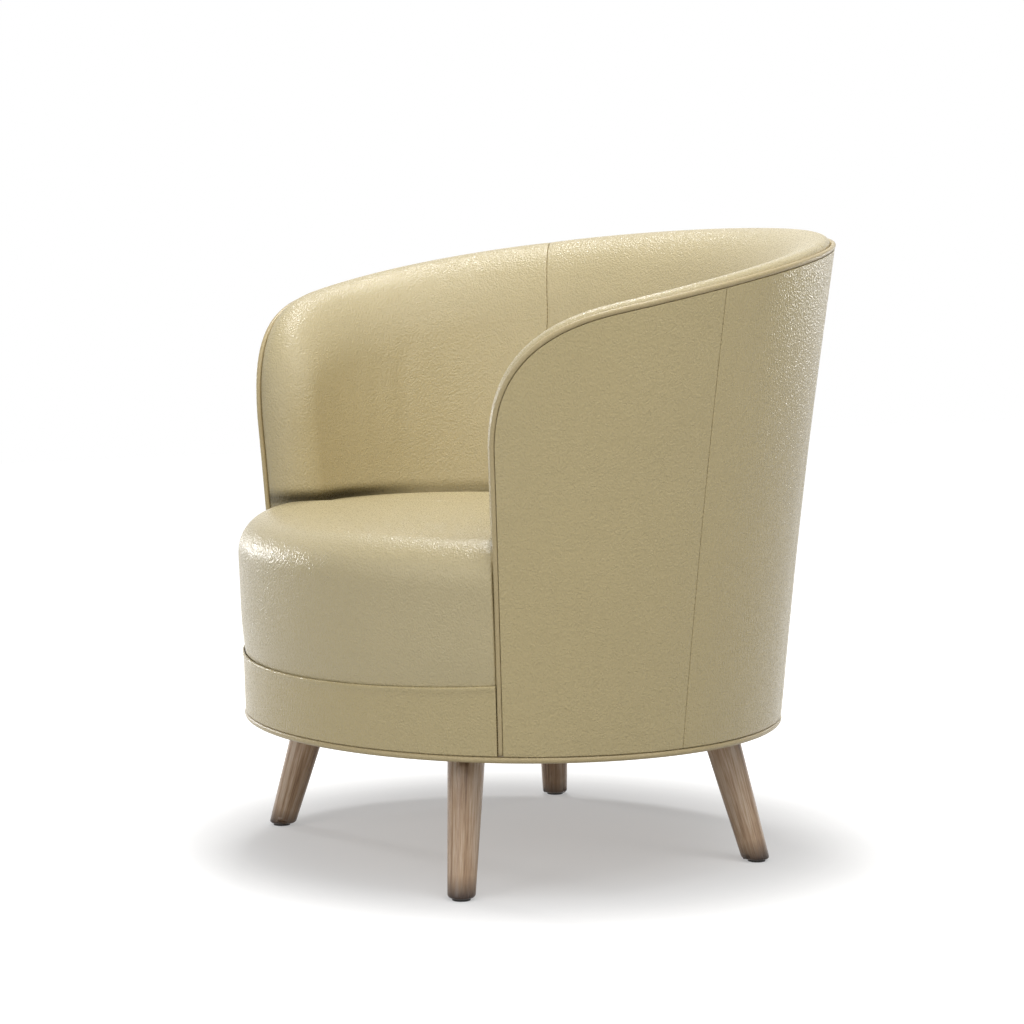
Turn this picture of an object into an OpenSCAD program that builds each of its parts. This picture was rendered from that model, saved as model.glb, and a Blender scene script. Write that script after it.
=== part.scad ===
// Barrel-backed leather swivel chair on four splayed turned legs.
// Millimetres. The chair faces -Y, its left arm is at +X, the floor is z = 0.
// The origin lies under the middle of the chair's outline; the swivel axis is at y = axis_y.

/* [Hem outline] */
// Height of the hem welt above the floor
hem_z = 172.6; // [160:0.2:190]
// Half of the tub's width at the hem
hem_half_width = 360; // [340:1:380]
// Half of the tub's depth at the hem
hem_half_depth = 335.8; // [320:0.2:350]

/* [Tub wall] */
// Outward lean of the sides, mm per mm of height
side_flare = 0.0843; // [0.05:0.001:0.11]
// Outward lean of the front and back, mm per mm of height
end_flare = 0.0352; // [0.02:0.001:0.06]
// Extra outward curve of the whole wall at the height of the side rim
wall_belly = 15.5; // [9:0.1:21]
// Backward lean of the outline's middle, mm per mm of height
back_lean = 0.0238; // [0.01:0.001:0.04]

/* [Rim] */
// Rim height at the sides
rim_side_z = 720.6; // [690:0.5:740]
// Rise of the rim from the sides to the back
rim_rise = 72.7; // [50:0.5:90]
// Flattening of that rise towards the back
rim_sag = 16.2; // [0:0.5:30]
// Outline angle, from the back, where the rounded arm corner starts
corner_from = 105; // [100:0.5:110]
// Outline angle of the arm's front edge at its upper end
corner_to = 127.5; // [125:0.5:130]
// Drop of the rim through the rounded arm corner
corner_drop = 133; // [110:1:150]
// Fullness of the arm corner, 2 is an ellipse
corner_power = 2.58; // [2.2:0.02:3]
// Outline angle of the arm's front edge at the hem
front_edge_angle = 123.7; // [122:0.1:125]
// Height of the padded roll above the rim welt
roll_rise = 9; // [5:0.5:12]
// Depth over which the roll turns down into the inner face
roll_depth = 38; // [32:1:46]

/* [Wall layers] */
// Thickness of the leather
leather = 2; // [1.6:0.1:2.4]
// Gap between layers that lie against each other
layer_gap = 0.9; // [0.8:0.05:1.2]
// Thickness of the outer plywood boards
board = 6; // [4:0.5:8]
// Depth of the upright frame members inside the wall
frame_depth = 24; // [20:1:28]
// Thickness of the inner fibreboard liner
liner = 4; // [3:0.5:5]
// Whole wall thickness at the arms
arm_thickness = 75; // [72:1:82]
// Extra thickness of the back at the rim
back_extra_top = 8; // [4:1:14]
// Extra thickness of the back at the seat
back_extra_low = 32; // [20:1:40]

/* [Welts] */
// Diameter of the hem welt
hem_welt = 8; // [7:0.5:9]
// Diameter of the rim and arm welt
rim_welt = 7; // [6:0.5:8]
// How far a welt stands out past the leather
welt_stand = 1; // [0.5:0.1:1.5]

/* [Seat] */
// Height of the seat's edge
seat_edge_z = 428; // [415:1:440]
// Height of the crown above the seat's edge
seat_crown = 13; // [8:0.5:20]
// Radius of the seat's front edge
seat_front_radius = 50; // [40:1:56]
// Radius of the seat's edge between the arms
seat_side_radius = 16; // [12:1:20]
// Bulge of the seat's front past the tub outline
seat_bulge = 0.8; // [0:0.1:2]
// Draw-in of the seat's front at the band
seat_tuck = 2.6; // [1:0.1:4]
// Height of the band's top edge at the front
band_top_front = 250; // [244:1:256]
// Height of the band's top edge beside the arms
band_top_side = 261; // [256:1:266]

/* [Seat frame and springs] */
// Thickness of the swivel board under the seat
swivel_board = 18; // [15:0.5:21]
// Height of the seat rails on the swivel board
seat_rail = 31.4; // [30:0.2:33]
// Width of the front rail
front_rail_width = 38; // [32:1:44]
// Width that the side and back rails show inside the wall
rail_ledge = 26; // [24:1:30]
// Distance between seat springs
spring_pitch = 84; // [76:1:90]
// Diameter of the spring wire
spring_wire = 3.6; // [3:0.1:3.8]
// Sideways reach of a spring's waves
spring_wave = 22; // [16:1:26]
// Thickness of the deck cloth over the springs
deck_cloth = 1.4; // [1:0.1:1.6]

/* [Legs] */
// Distance from the middle of a leg's top to the platform's edge
leg_inset = 26.5; // [26:0.1:32]
// Direction of a leg's top, degrees from the chair's width
leg_direction = 41.4; // [39:0.1:44]
// Sideways splay of a leg from its top to its foot
splay_x = 41.8; // [34:0.2:46]
// Fore and aft splay of a leg from its top to its foot
splay_y = 30; // [22:0.2:34]
// Radius of the leg at the foot
foot_radius = 16.6; // [14:0.1:18]
// Radius of the leg at the top
leg_top_radius = 22.6; // [20:0.1:23]
// Height of the foot glide
glide = 3; // [2:0.5:5]
// Radius of the foot glide
glide_radius = 11; // [9:0.5:12.5]
// Radius of the hanger bolt
bolt_radius = 3.9; // [3:0.1:4.5]
// Length of the hanger bolt on each side of the leg's top
bolt_reach = 22; // [18:1:24]

/* [Base platform] */
// Distance from the round platform's edge to the tub's outline, where that is nearest at the hem
platform_inset = 35.8; // [34:0.2:38]
// Height of the platform's underside
platform_z = 165; // [162:0.5:166]
// Thickness of the platform
platform = 20; // [18:0.5:21]
// Side of a square leg plate
leg_plate_side = 52; // [50:0.5:54]
// Thickness of a leg plate
leg_plate = 2.5; // [2:0.1:3]
// Distance of a leg plate's screws from its middle, along each side
leg_plate_screw = 20; // [19.5:0.1:20.5]
// Radius of a screw shank
screw_radius = 2; // [1.6:0.1:2.2]
// Length of a screw shank
screw_length = 14; // [10:1:15]

/* [Swivel] */
// Side of the swivel plates
swivel_side = 240; // [220:1:260]
// Thickness of the swivel plates
swivel_plate = 3; // [2.5:0.1:3.5]
// Rounding of the swivel plates' corners
swivel_corner = 14; // [8:1:20]
// Radius of the circle that the balls run on
race_radius = 80; // [70:1:90]
// Radius of a ball
ball_radius = 4; // [3.5:0.1:4.5]
// Number of balls
ball_count = 24; // [16:1:30]
// Width of a race ring
race_width = 16; // [14:0.5:18]
// Height of a race ring
race_height = 5; // [4.5:0.1:5.2]
// Width of the ball cage
cage_width = 20; // [18:0.5:22]
// Thickness of the ball cage
cage = 1.6; // [1.2:0.1:2]
// Radius of the king pin
pin_radius = 10; // [8:0.5:12]
// Radial running clearance of the king pin
pin_clearance = 0.05; // [0.03:0.01:0.08]
// Place of the swivel plate screws from the middle, along each side
swivel_screw = 100; // [92:1:104]

/* [Hidden] */

leather_tan = "#C9BC95";
leather_shade = "#B0A37C";
wood_grey = "#94795F";
ply_tan = "#C8A878";
beech = "#D2B48C";
steel = "#A8ABB0";
zinc = "#C0C2C6";
foam_cream = "#E9E2C6";
cloth_black = "#2A2A2C";
cloth_grey = "#8C8A84";
nylon = "#3A3632";

// Side seam of the outer leather, outline angle from the back
side_seam = 85.4;
// Rear seams of the outer leather
rear_seam = 45;
// Seams of the inner leather
inner_seam = 50;
// Where the arm's front edge starts to swing with height
swing_from = 100;
// Length of one degree of outline halfway up the side, for offsets along the wall
mm_per_degree = half_width((hem_z + rim_side_z) / 2) * PI / 180;
// Small clearance between pieces that touch on the real chair
touch = 0.3;
// Half width of the slit between two leather panels at a seam, degrees
seam_slit = 0.03;
// How far behind the axis the middle of the outline lies at the hem
middle_at_hem = 0.8;
// Last outline angle of the outer leather, the boards and the padding at the foot of the arm's front
cover_foot = 118;
board_foot = 120;
pad_foot = 116;
// Outline angles that the arm post fills
post_from = 117;
post_to = 124.5;
// Last outline angle of the side rails
side_rail_to = 115.5;
// How far the arm posts run up past the foot of the rounded corner
post_rise = 25;
// How far the boards, the liners and the top rail stop below the rim line, and where the uprights stop
board_drop = 6;
liner_drop = 15;
top_rail_drop = 14;
rail_drop = 50;
// Height of the padding's back edge below the rim line, over the frame and behind the welt
pad_shoulder = 13;
pad_edge = 5;
// Rows of points up a wall sheet
wall_rows = 6;
face_rows = 5;

corner_z = rim_z(corner_to) - corner_drop;
hem_top = hem_z + hem_welt / 2 + touch;
platform_top = platform_z + platform;
swivel_top = platform_top + 2 * swivel_plate + 15;
board_top = swivel_top + swivel_board;
rail_base = board_top + touch;
rail_top = rail_base + seat_rail;
pad_base = rail_top + 1;
d_board = leather + layer_gap;
d_frame = d_board + board + layer_gap;
d_liner = d_frame + frame_depth + layer_gap;
d_foam = d_liner + liner + layer_gap;
rim_cord_d = rim_welt / 2 - welt_stand;
hem_cord_d = hem_welt / 2 - welt_stand;
roll_start_d = rim_cord_d + rim_welt / 2 + touch;
panel_edge = -(rim_welt / 2 + touch);
platform_radius = min(hem_half_width, hem_half_depth) - platform_inset;
ring_gap = 8;
ring_hole = platform_radius + ring_gap;
leg_top_x = (platform_radius - leg_inset) * cos(leg_direction);
leg_top_y = (platform_radius - leg_inset) * sin(leg_direction);
foot_x = leg_top_x + splay_x;
foot_y = leg_top_y + splay_y;
leg_top_z = platform_z - leg_plate;

// Outline of the tub wall

function above_hem(z) = z - hem_z;
function belly(z) = wall_belly * pow(above_hem(z) / (rim_side_z - hem_z), 2);
function half_width(z) = hem_half_width + side_flare * above_hem(z) + belly(z);
function half_depth(z) = hem_half_depth + end_flare * above_hem(z) + belly(z);
function middle(z) = back_lean * above_hem(z) - middle_at_hem;
function front_angle(z) =
    let (share = above_hem(z) / (corner_z - hem_z))
    min(corner_to, front_edge_angle + (corner_to - front_edge_angle) * share);
function turn_half(u, z) =
    u < swing_from ? u :
    u < corner_to ? swing_from + (u - swing_from) * (front_angle(z) - swing_from) / (corner_to - swing_from) :
    front_angle(z) + (u - corner_to) * (180 - front_angle(z)) / (180 - corner_to);
function turn(u, z) = u > 180 ? -turn_half(360 - u, z) : u < 0 ? -turn_half(-u, z) : turn_half(u, z);
// Point at outline angle u from the back, height z, depth d inside the outer face
function wall(u, z, d) = [
    (half_width(z) - d) * sin(turn(u, z)),
    (half_depth(z) - d) * cos(turn(u, z)) + middle(z),
    z];

function thickness(u, z) =
    let (back = pow(max(0, cos(u)), 1.5))
    let (low = min(1, max(0, (rim_side_z - z) / (rim_side_z - seat_edge_z))))
    arm_thickness + back * (back_extra_top + back_extra_low * low);

// Rim line, as [outline angle, height] along a path that runs from the back to the arm's foot

function rim_z(u) = rim_side_z + rim_rise * cos(u) - rim_sag * pow(cos(u), 2);
function corner(f) = [
    corner_from + (corner_to - corner_from) * pow(sin(f), 2 / corner_power),
    rim_z(corner_from + (corner_to - corner_from) * pow(sin(f), 2 / corner_power))
        - corner_drop * (1 - pow(cos(f), 2 / corner_power))];
// s up to corner_from is an angle, the next 90 turn the corner, then 1 is a hundredth of the arm's front
function rim_half(s) =
    s <= corner_from ? [s, rim_z(s)] :
    s < corner_from + 90 ? corner(s - corner_from) :
    [corner_to, corner_z - (s - corner_from - 90) * (corner_z - hem_z) / 100];
function rim(s) = s < 0 ? [-rim_half(-s)[0], rim_half(-s)[1]] : rim_half(s);
function front_s(z) = corner_from + 90 + 100 * (corner_z - z) / (corner_z - hem_z);
function rim_normal(s) =
    let (a = rim(s - 0.6), b = rim(s + 0.6))
    let (du = (b[0] - a[0]) * mm_per_degree, dz = b[1] - a[1], l = norm([du, dz]))
    [-dz / l, du / l];
// [outline angle, height] at distance h outside the rim line
function beside_rim(s, h) =
    let (p = rim(s), n = rim_normal(s))
    [p[0] + h * n[0] / mm_per_degree, p[1] + h * n[1]];

// Rolled edge: depth and height over the rim for a turn of 0 (inner face) to 180 (at the welt)

function roll_d(u, z, f, inset) =
    let (t = thickness(u, z), half = (t - roll_start_d) / 2)
    roll_start_d + half + (half - inset) * cos(f);
function roll_h(f, inset) =
    f < 90 ? (roll_depth + roll_rise - inset) * sin(f) - roll_depth : (roll_rise + 1 - inset) * sin(f) - 1;

// Solids from grids of points

function flat_list(rows) = [for (r = rows) each r];
function quad(a, b, c, d) = [[a, b, c], [a, c, d]];

// Solid between two grids of points with n columns and m rows each
module grid_solid(outer, inner) {
    n = len(outer);
    m = len(outer[0]);
    k = n * m;
    points = concat(flat_list(outer), flat_list(inner));
    faces = flat_list(concat(
        [for (i = [0:n - 2]) for (j = [0:m - 2])
            quad(i * m + j, (i + 1) * m + j, (i + 1) * m + j + 1, i * m + j + 1)],
        [for (i = [0:n - 2]) for (j = [0:m - 2])
            quad(k + i * m + j, k + i * m + j + 1, k + (i + 1) * m + j + 1, k + (i + 1) * m + j)],
        [for (j = [0:m - 2]) quad(j, j + 1, k + j + 1, k + j)],
        [for (j = [0:m - 2])
            quad((n - 1) * m + j, k + (n - 1) * m + j, k + (n - 1) * m + j + 1, (n - 1) * m + j + 1)],
        [for (i = [0:n - 2]) quad(i * m, k + i * m, k + (i + 1) * m, (i + 1) * m)],
        [for (i = [0:n - 2])
            quad(i * m + m - 1, (i + 1) * m + m - 1, k + (i + 1) * m + m - 1, k + i * m + m - 1)]));
    polyhedron(points, faces, convexity = 8);
}

// Solid from closed rings of points, with a flat cap at each end
module ring_solid(rings) {
    n = len(rings);
    m = len(rings[0]);
    faces = concat(
        flat_list([for (i = [0:n - 2]) for (j = [0:m - 1])
            quad(i * m + j, (i + 1) * m + j, (i + 1) * m + (j + 1) % m, i * m + (j + 1) % m)]),
        [[for (j = [0:m - 1]) j]],
        [[for (j = [m - 1:-1:0]) (n - 1) * m + j]]);
    polyhedron(flat_list(rings), faces, convexity = 8);
}

// Closed loop of rings, such as a welt that runs all the way round
module loop_solid(rings) {
    n = len(rings);
    m = len(rings[0]);
    faces = flat_list([for (i = [0:n - 1]) for (j = [0:m - 1])
        quad(i * m + j, ((i + 1) % n) * m + j, ((i + 1) % n) * m + (j + 1) % m, i * m + (j + 1) % m)]);
    polyhedron(flat_list(rings), faces, convexity = 8);
}

// Skin between two stacks of rings: open below, closed by caps above
module ring_shell(outer, inner) {
    n = len(outer);
    m = len(outer[0]);
    k = n * m;
    faces = concat(
        flat_list([for (i = [0:n - 2]) for (j = [0:m - 1])
            quad(i * m + j, (i + 1) * m + j, (i + 1) * m + (j + 1) % m, i * m + (j + 1) % m)]),
        flat_list([for (i = [0:n - 2]) for (j = [0:m - 1])
            quad(k + i * m + j, k + i * m + (j + 1) % m,
                 k + (i + 1) * m + (j + 1) % m, k + (i + 1) * m + j)]),
        flat_list([for (j = [0:m - 1]) quad(j, (j + 1) % m, k + (j + 1) % m, k + j)]),
        [[for (j = [m - 1:-1:0]) (n - 1) * m + j]],
        [[for (j = [0:m - 1]) k + (n - 1) * m + j]]);
    polyhedron(concat(flat_list(outer), flat_list(inner)), faces, convexity = 8);
}

// Wall patches: each column runs from a point on a base line up to the rim line

// Stations along the rim between two seams
function top_stations(from, to) =
    let (count = ceil(abs(to - from) / 6.5))
    [for (i = [0:count]) from + (to - from) * i / count];
// Stations from a seam round the arm corner and down its front to height z
function arm_stations(from, z) = concat(
    top_stations(from, corner_from),
    [for (f = [18:18:90]) corner_from + f],
    [for (i = [1:6]) corner_from + 90 + (front_s(z) - corner_from - 90) * i / 6]);
// Feet of the columns: straight below the rim up to the arm corner, then drawn together up to the last angle
function base_angles(stations, to) =
    let (corner_at = len([for (s = stations) if (s <= corner_from) s]) - 1)
    let (step = (to - corner_from) / (len(stations) - 1 - corner_at))
    [for (i = [0:len(stations) - 1])
        i <= corner_at ? stations[i] : corner_from + step * (i - corner_at)];
function column(base, top, rows) = [for (j = [0:rows]) base + (top - base) * j / rows];

// Patch of [angle, height] points: stations on the rim, angles on the base line
function patch(stations, angles, base_z, inset, rows) = [
    for (i = [0:len(stations) - 1])
        column([angles[i], base_z], beside_rim(stations[i], -inset), rows)];
function at_depth(grid, d) = [for (c = grid) [for (p = c) wall(p[0], p[1], d)]];
function mirrored(grid) = [for (i = [len(grid) - 1:-1:0]) [for (p = grid[i]) [-p[0], p[1]]]];

module wall_sheet(grid, d, t) {
    grid_solid(at_depth(grid, d), at_depth(grid, d + t));
}

function back_patch(seam, base_z, inset, rows) =
    let (s = top_stations(-seam + seam_slit, seam - seam_slit))
    patch(s, s, base_z, inset, rows);
function rear_patch(from, to, base_z, inset, rows) =
    let (s = top_stations(from + seam_slit, to - seam_slit))
    patch(s, s, base_z, inset, rows);
function arm_patch(from, base_z, base_to, inset, rows) =
    let (s = arm_stations(from + seam_slit, base_z))
    patch(s, base_angles(s, base_to), base_z, inset, rows);

// Inner face and roll, as two matching grids: the face itself and a second one behind it

roll_turns = [30, 60, 90, 120, 150, 180];

function face_point(p, inset) = wall(p[0], p[1], thickness(p[0], p[1]) - inset);
function roll_point(s, f, inset) =
    let (p = beside_rim(s, roll_h(f, inset)))
    wall(p[0], p[1], roll_d(p[0], p[1], f, inset));
function inner_grid(stations, angles, inset, rows) = [
    for (i = [0:len(stations) - 1]) concat(
        [for (p = column([angles[i], pad_base], beside_rim(stations[i], -roll_depth), rows))
            face_point(p, inset)],
        [for (f = roll_turns) roll_point(stations[i], f, inset)])];
// Behind the padding, as [depth, height]: up the liner, across the top of the frame, to the welt
function roll_back(f) =
    let (edge = d_frame + 0.5)
    f <= 60 ? [d_foam, -roll_depth + (roll_depth - pad_shoulder) * f / 60] :
    f < 180 ? [d_foam - (f - 60) * (d_foam - edge) / 90, -pad_shoulder] :
    [edge, -pad_edge];
function behind_grid(stations, angles, rows) = [
    for (i = [0:len(stations) - 1]) concat(
        [for (p = column([angles[i], pad_base], beside_rim(stations[i], -roll_depth), rows))
            wall(p[0], p[1], d_foam)],
        [for (f = roll_turns)
            let (r = roll_back(f), p = beside_rim(stations[i], r[1]))
            wall(p[0], p[1], r[0])])];

inner_back_stations = top_stations(-inner_seam + seam_slit, inner_seam - seam_slit);
inner_arm_stations = arm_stations(inner_seam + seam_slit, pad_base);
inner_arm_angles = base_angles(inner_arm_stations, pad_foot);

module inner_cover(stations, angles) {
    grid_solid(inner_grid(stations, angles, leather, face_rows), inner_grid(stations, angles, 0, face_rows));
}
module inner_foam(stations, angles) {
    grid_solid(behind_grid(stations, angles, face_rows),
               inner_grid(stations, angles, leather + 0.4, face_rows));
}

// Seat cushion, as rings of points round the whole seat

// Angle from the back, and a share 0 to 1 that says how far the column has left the arms for the front
function seat_columns_half() = concat(
    [for (u = [6.5:6.5:117]) [u, 0, thickness(u, seat_edge_z) + layer_gap]],
    [[121.5, 0.1, arm_thickness + layer_gap],
     [125.6, 0.3, arm_thickness - 2.5],
     [128.2, 0.55, arm_thickness - 15],
     [129.05, 0.75, arm_thickness - 34],
     [129.15, 0.9, 20],
     [129.3, 1, seat_tuck],
     [134.5, 1, 0]],
    [for (u = [141:6.5:180]) [u, 1, 0]]);
seat_half = seat_columns_half();
seat_columns = concat(
    [[0, 0, thickness(0, seat_edge_z) + layer_gap]],
    [for (c = seat_half) if (c[0] < 180) [360 - c[0], c[1], c[2]]],
    [for (i = [len(seat_half) - 1:-1:0]) seat_half[i]]);
seat_centre = [0, -40];

function band_top(u) =
    let (w = max(0, min(1, (abs(180 - u)) / (180 - corner_to))))
    band_top_front + (band_top_side - band_top_front) * pow(w, 2);
function seat_radius(c) = seat_side_radius + (seat_front_radius - seat_side_radius) * pow(c[1], 2);
function seat_low(c) = c[1] > 0.2 ? band_top(c[0]) + 0.5 : rail_top + 6;
// Depth of the seat's side inside the outline: drawn in at the band, full at the shoulder
function seat_side_d(c, z) =
    let (w = (z - band_top_front) / (seat_edge_z - seat_front_radius - band_top_front))
    c[1] < 0.1 ? thickness(c[0], z) + layer_gap :
    c[1] < 1 ? c[2] :
    c[2] + seat_tuck * pow(max(0, 1 - w), 1.5) - seat_bulge;
function seat_side(c, share, inset, low) =
    let (top = seat_edge_z - seat_radius(c), z = low + (top - low) * share)
    wall(c[0], z, seat_side_d(c, z) + inset);
function seat_shoulder(c, f, inset) =
    let (r = seat_radius(c), z = seat_edge_z - r)
    let (p = wall(c[0], z, seat_side_d(c, z) + r - (r - inset) * cos(f)))
    [p[0], p[1], z + (r - inset) * sin(f)];
function seat_top(c, s, inset) =
    let (p = seat_shoulder(c, 90, inset))
    [seat_centre[0] + (p[0] - seat_centre[0]) * s, seat_centre[1] + (p[1] - seat_centre[1]) * s,
     seat_edge_z - inset + seat_crown * (1 - s * s)];
function seat_rings(inset, flat_base) = concat(
    [for (share = [0, 0.5, 1]) [for (c = seat_columns)
        seat_side(c, share, inset, flat_base > 0 ? flat_base : seat_low(c))]],
    [for (f = [30, 60, 90]) [for (c = seat_columns) seat_shoulder(c, f, inset)]],
    [for (s = [0.8, 0.55, 0.25]) [for (c = seat_columns) seat_top(c, s, inset)]]);

// Welts

function round_section(r, sides) = [
    for (i = [0:sides - 1]) [r * cos(i * 360 / sides), r * sin(i * 360 / sides)]];
function rim_ring(s, r, sides) = [
    for (q = round_section(r, sides))
        let (p = beside_rim(s, q[1]))
        wall(p[0], p[1], rim_cord_d - q[0])];
rim_half_stations = arm_stations(0, hem_top + 1);
rim_stations = concat([for (i = [len(rim_half_stations) - 1:-1:1]) -rim_half_stations[i]], rim_half_stations);
rim_rings = [for (s = rim_stations) rim_ring(s, rim_welt / 2, 6)];
hem_rings = [for (u = [0:7.5:359]) [
    for (q = round_section(hem_welt / 2, 6))
        wall(u, hem_z, hem_cord_d - q[0]) + [0, 0, q[1]]]];
seat_outer = seat_rings(0, 0);

// The outline's fore and aft middle lies over the origin
back_reach = max([for (r = rim_rings) for (p = r) p[1]]);
front_reach = min([for (r = seat_outer) for (p = r) p[1]]);
axis_y = -(back_reach + front_reach) / 2;

module place() {
    translate([0, axis_y, 0]) children();
}

// Legs and feet

leg_shift = [leg_top_x - foot_x, leg_top_y - foot_y, leg_top_z];
leg_length = norm(leg_shift);
leg_tilt = acos(leg_shift[2] / leg_length);
leg_turn = atan2(leg_shift[1], leg_shift[0]);

// Children drawn along the leg's axis, with z = 0 at the foot
module along_leg(sx, sy) {
    mirror([sx < 0 ? 1 : 0, 0, 0]) mirror([0, sy < 0 ? 1 : 0, 0])
        translate([foot_x, foot_y, 0]) rotate([0, 0, leg_turn]) rotate([0, leg_tilt, 0]) children();
}
module leg(sx, sy) {
    over = 30;
    slope = (leg_top_radius - foot_radius) / leg_length;
    place() color(wood_grey) difference() {
        intersection() {
            along_leg(sx, sy) translate([0, 0, -over])
                cylinder(h = leg_length + 2 * over, r1 = foot_radius - over * slope,
                         r2 = leg_top_radius + over * slope, $fn = 64);
            translate([sx * foot_x - 120, sy * foot_y - 120, glide]) cube([240, 240, leg_top_z - glide]);
        }
        along_leg(sx, sy) translate([0, 0, leg_length - bolt_reach - touch])
            cylinder(h = bolt_reach + 20, r = bolt_radius + 0.1, $fn = 32);
        translate([sx * foot_x, sy * foot_y, glide - 1]) cylinder(h = 13, r = 1.6, $fn = 24);
    }
}
module front_left_leg() { leg(1, -1); }
module front_right_leg() { leg(-1, -1); }
module back_left_leg() { leg(1, 1); }
module back_right_leg() { leg(-1, 1); }

corners = [[1, -1], [-1, -1], [1, 1], [-1, 1]];

module foot_glides() {
    place() color(nylon) for (c = corners) translate([c[0] * foot_x, c[1] * foot_y, 0]) {
        cylinder(h = glide, r = glide_radius, $fn = 48);
        cylinder(h = glide + 11, r = 1.5, $fn = 24);
    }
}
module hanger_bolts() {
    place() color(zinc) for (c = corners) along_leg(c[0], c[1])
        translate([0, 0, leg_length - bolt_reach]) cylinder(h = 2 * bolt_reach, r = bolt_radius, $fn = 32);
}
// Children placed on each leg plate, turned to face along the leg's lean
module at_leg_plates() {
    for (c = corners) mirror([c[0] < 0 ? 1 : 0, 0, 0]) mirror([0, c[1] < 0 ? 1 : 0, 0])
        translate([leg_top_x, leg_top_y, leg_top_z]) rotate([0, 0, leg_turn]) children();
}
module plate_corners(reach) {
    for (x = [-1, 1]) for (y = [-1, 1]) translate([x * reach, y * reach, 0]) children();
}
module leg_plates() {
    place() color(steel) difference() {
        at_leg_plates() difference() {
            translate([-leg_plate_side / 2, -leg_plate_side / 2, 0])
                cube([leg_plate_side, leg_plate_side, leg_plate]);
            plate_corners(leg_plate_screw) translate([0, 0, -1])
                cylinder(h = leg_plate + 2, r = screw_radius + 0.1, $fn = 24);
        }
        for (c = corners) along_leg(c[0], c[1]) translate([0, 0, leg_length - 8])
            cylinder(h = 20, r = bolt_radius + 0.1, $fn = 32);
    }
}
module screw(length) {
    translate([0, 0, -2]) cylinder(h = 2, r = 1.6 * screw_radius, $fn = 32);
    cylinder(h = length, r = screw_radius, $fn = 24);
}
module leg_plate_screws() {
    place() color(zinc) at_leg_plates() plate_corners(leg_plate_screw) screw(screw_length);
}
module base_platform() {
    place() color(ply_tan) difference() {
        translate([0, 0, platform_z]) cylinder(h = platform, r = platform_radius, $fn = 128);
        translate([0, 0, platform_z - 1]) cylinder(h = platform + 2, r = pin_radius + 6, $fn = 64);
        at_leg_plates() plate_corners(leg_plate_screw) translate([0, 0, leg_plate - 1])
            cylinder(h = screw_length - leg_plate + 1.5, r = screw_radius + 0.1, $fn = 24);
        for (c = corners) along_leg(c[0], c[1]) translate([0, 0, leg_length - 8])
            cylinder(h = bolt_reach + 8.5, r = bolt_radius + 0.4, $fn = 32);
        plate_corners(swivel_screw) translate([0, 0, platform_top - screw_length])
            cylinder(h = screw_length + 1, r = screw_radius + 0.1, $fn = 24);
    }
}

// Swivel

lower_plate_top = platform_top + swivel_plate;
upper_plate_z = swivel_top - swivel_plate;
ball_z = (lower_plate_top + upper_plate_z) / 2;

module rounded_plate(side, r, t) {
    linear_extrude(t) union() {
        square([side, side - 2 * r], center = true);
        square([side - 2 * r, side], center = true);
        plate_corners(side / 2 - r) circle(r = r, $fn = 48);
    }
}
module swivel_plate_at(z, hole) {
    place() color(steel) translate([0, 0, z]) difference() {
        rounded_plate(swivel_side, swivel_corner, swivel_plate);
        translate([0, 0, -1]) cylinder(h = swivel_plate + 2, r = hole, $fn = 64);
        plate_corners(swivel_screw) translate([0, 0, -1])
            cylinder(h = swivel_plate + 2, r = screw_radius + 0.1, $fn = 24);
    }
}
module lower_swivel_plate() { swivel_plate_at(platform_top, pin_radius); }
module upper_swivel_plate() { swivel_plate_at(upper_plate_z, pin_radius); }
module king_pin() {
    shaft = pin_radius - pin_clearance;
    place() color(zinc) {
        translate([0, 0, platform_top - 4]) cylinder(h = 4, r = pin_radius + 4, $fn = 64);
        translate([0, 0, platform_top - 1])
            cylinder(h = swivel_top + 3 - platform_top + 1, r = shaft, $fn = 64);
        translate([0, 0, swivel_top + touch]) cylinder(h = 3, r = pin_radius + 5, $fn = 64);
    }
}
module race_at(z) {
    place() color(steel) rotate_extrude($fn = 96) difference() {
        translate([race_radius - race_width / 2, z]) square([race_width, race_height]);
        translate([race_radius, ball_z]) circle(r = ball_radius + 0.15, $fn = 48);
    }
}
module lower_race() { race_at(lower_plate_top); }
module upper_race() { race_at(upper_plate_z - race_height); }
module at_balls() {
    for (i = [0:ball_count - 1]) rotate([0, 0, i * 360 / ball_count])
        translate([race_radius, 0, ball_z]) children();
}
module ball_cage() {
    place() color(zinc) difference() {
        translate([0, 0, ball_z - cage / 2]) difference() {
            cylinder(h = cage, r = race_radius + cage_width / 2, $fn = 96);
            translate([0, 0, -1]) cylinder(h = cage + 2, r = race_radius - cage_width / 2, $fn = 96);
        }
        at_balls() translate([0, 0, -cage]) cylinder(h = 2 * cage, r = ball_radius + 0.15, $fn = 32);
    }
}
module bearing_balls() {
    place() color(steel) at_balls() sphere(r = ball_radius, $fn = 32);
}
module lower_plate_screws() {
    place() color(zinc) plate_corners(swivel_screw) translate([0, 0, lower_plate_top])
        mirror([0, 0, 1]) screw(screw_length + swivel_plate - 1);
}
module upper_plate_screws() {
    place() color(zinc) plate_corners(swivel_screw) translate([0, 0, upper_plate_z])
        screw(screw_length + swivel_plate - 1);
}

// Frame of the tub

function outline(z, d) = [for (u = [0:6:359.9]) let (p = wall(u, z, d)) [p[0], p[1]]];
// Outline with a notch on each side for the welt that runs down the arm's front
function notched_outline(z, d) =
    let (deep = roll_start_d + 0.8)
    let (half = concat(
        [for (u = [0:6:120]) [u, d]],
        [[125.8, d], [126.3, deep], [129.2, deep], [129.7, d]],
        [for (u = [132:6:180]) [u, d]]))
    [for (q = concat(half, [for (i = [len(half) - 2:-1:1]) [360 - half[i][0], half[i][1]]]))
        let (p = wall(q[0], z, q[1])) [p[0], p[1]]];

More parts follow.
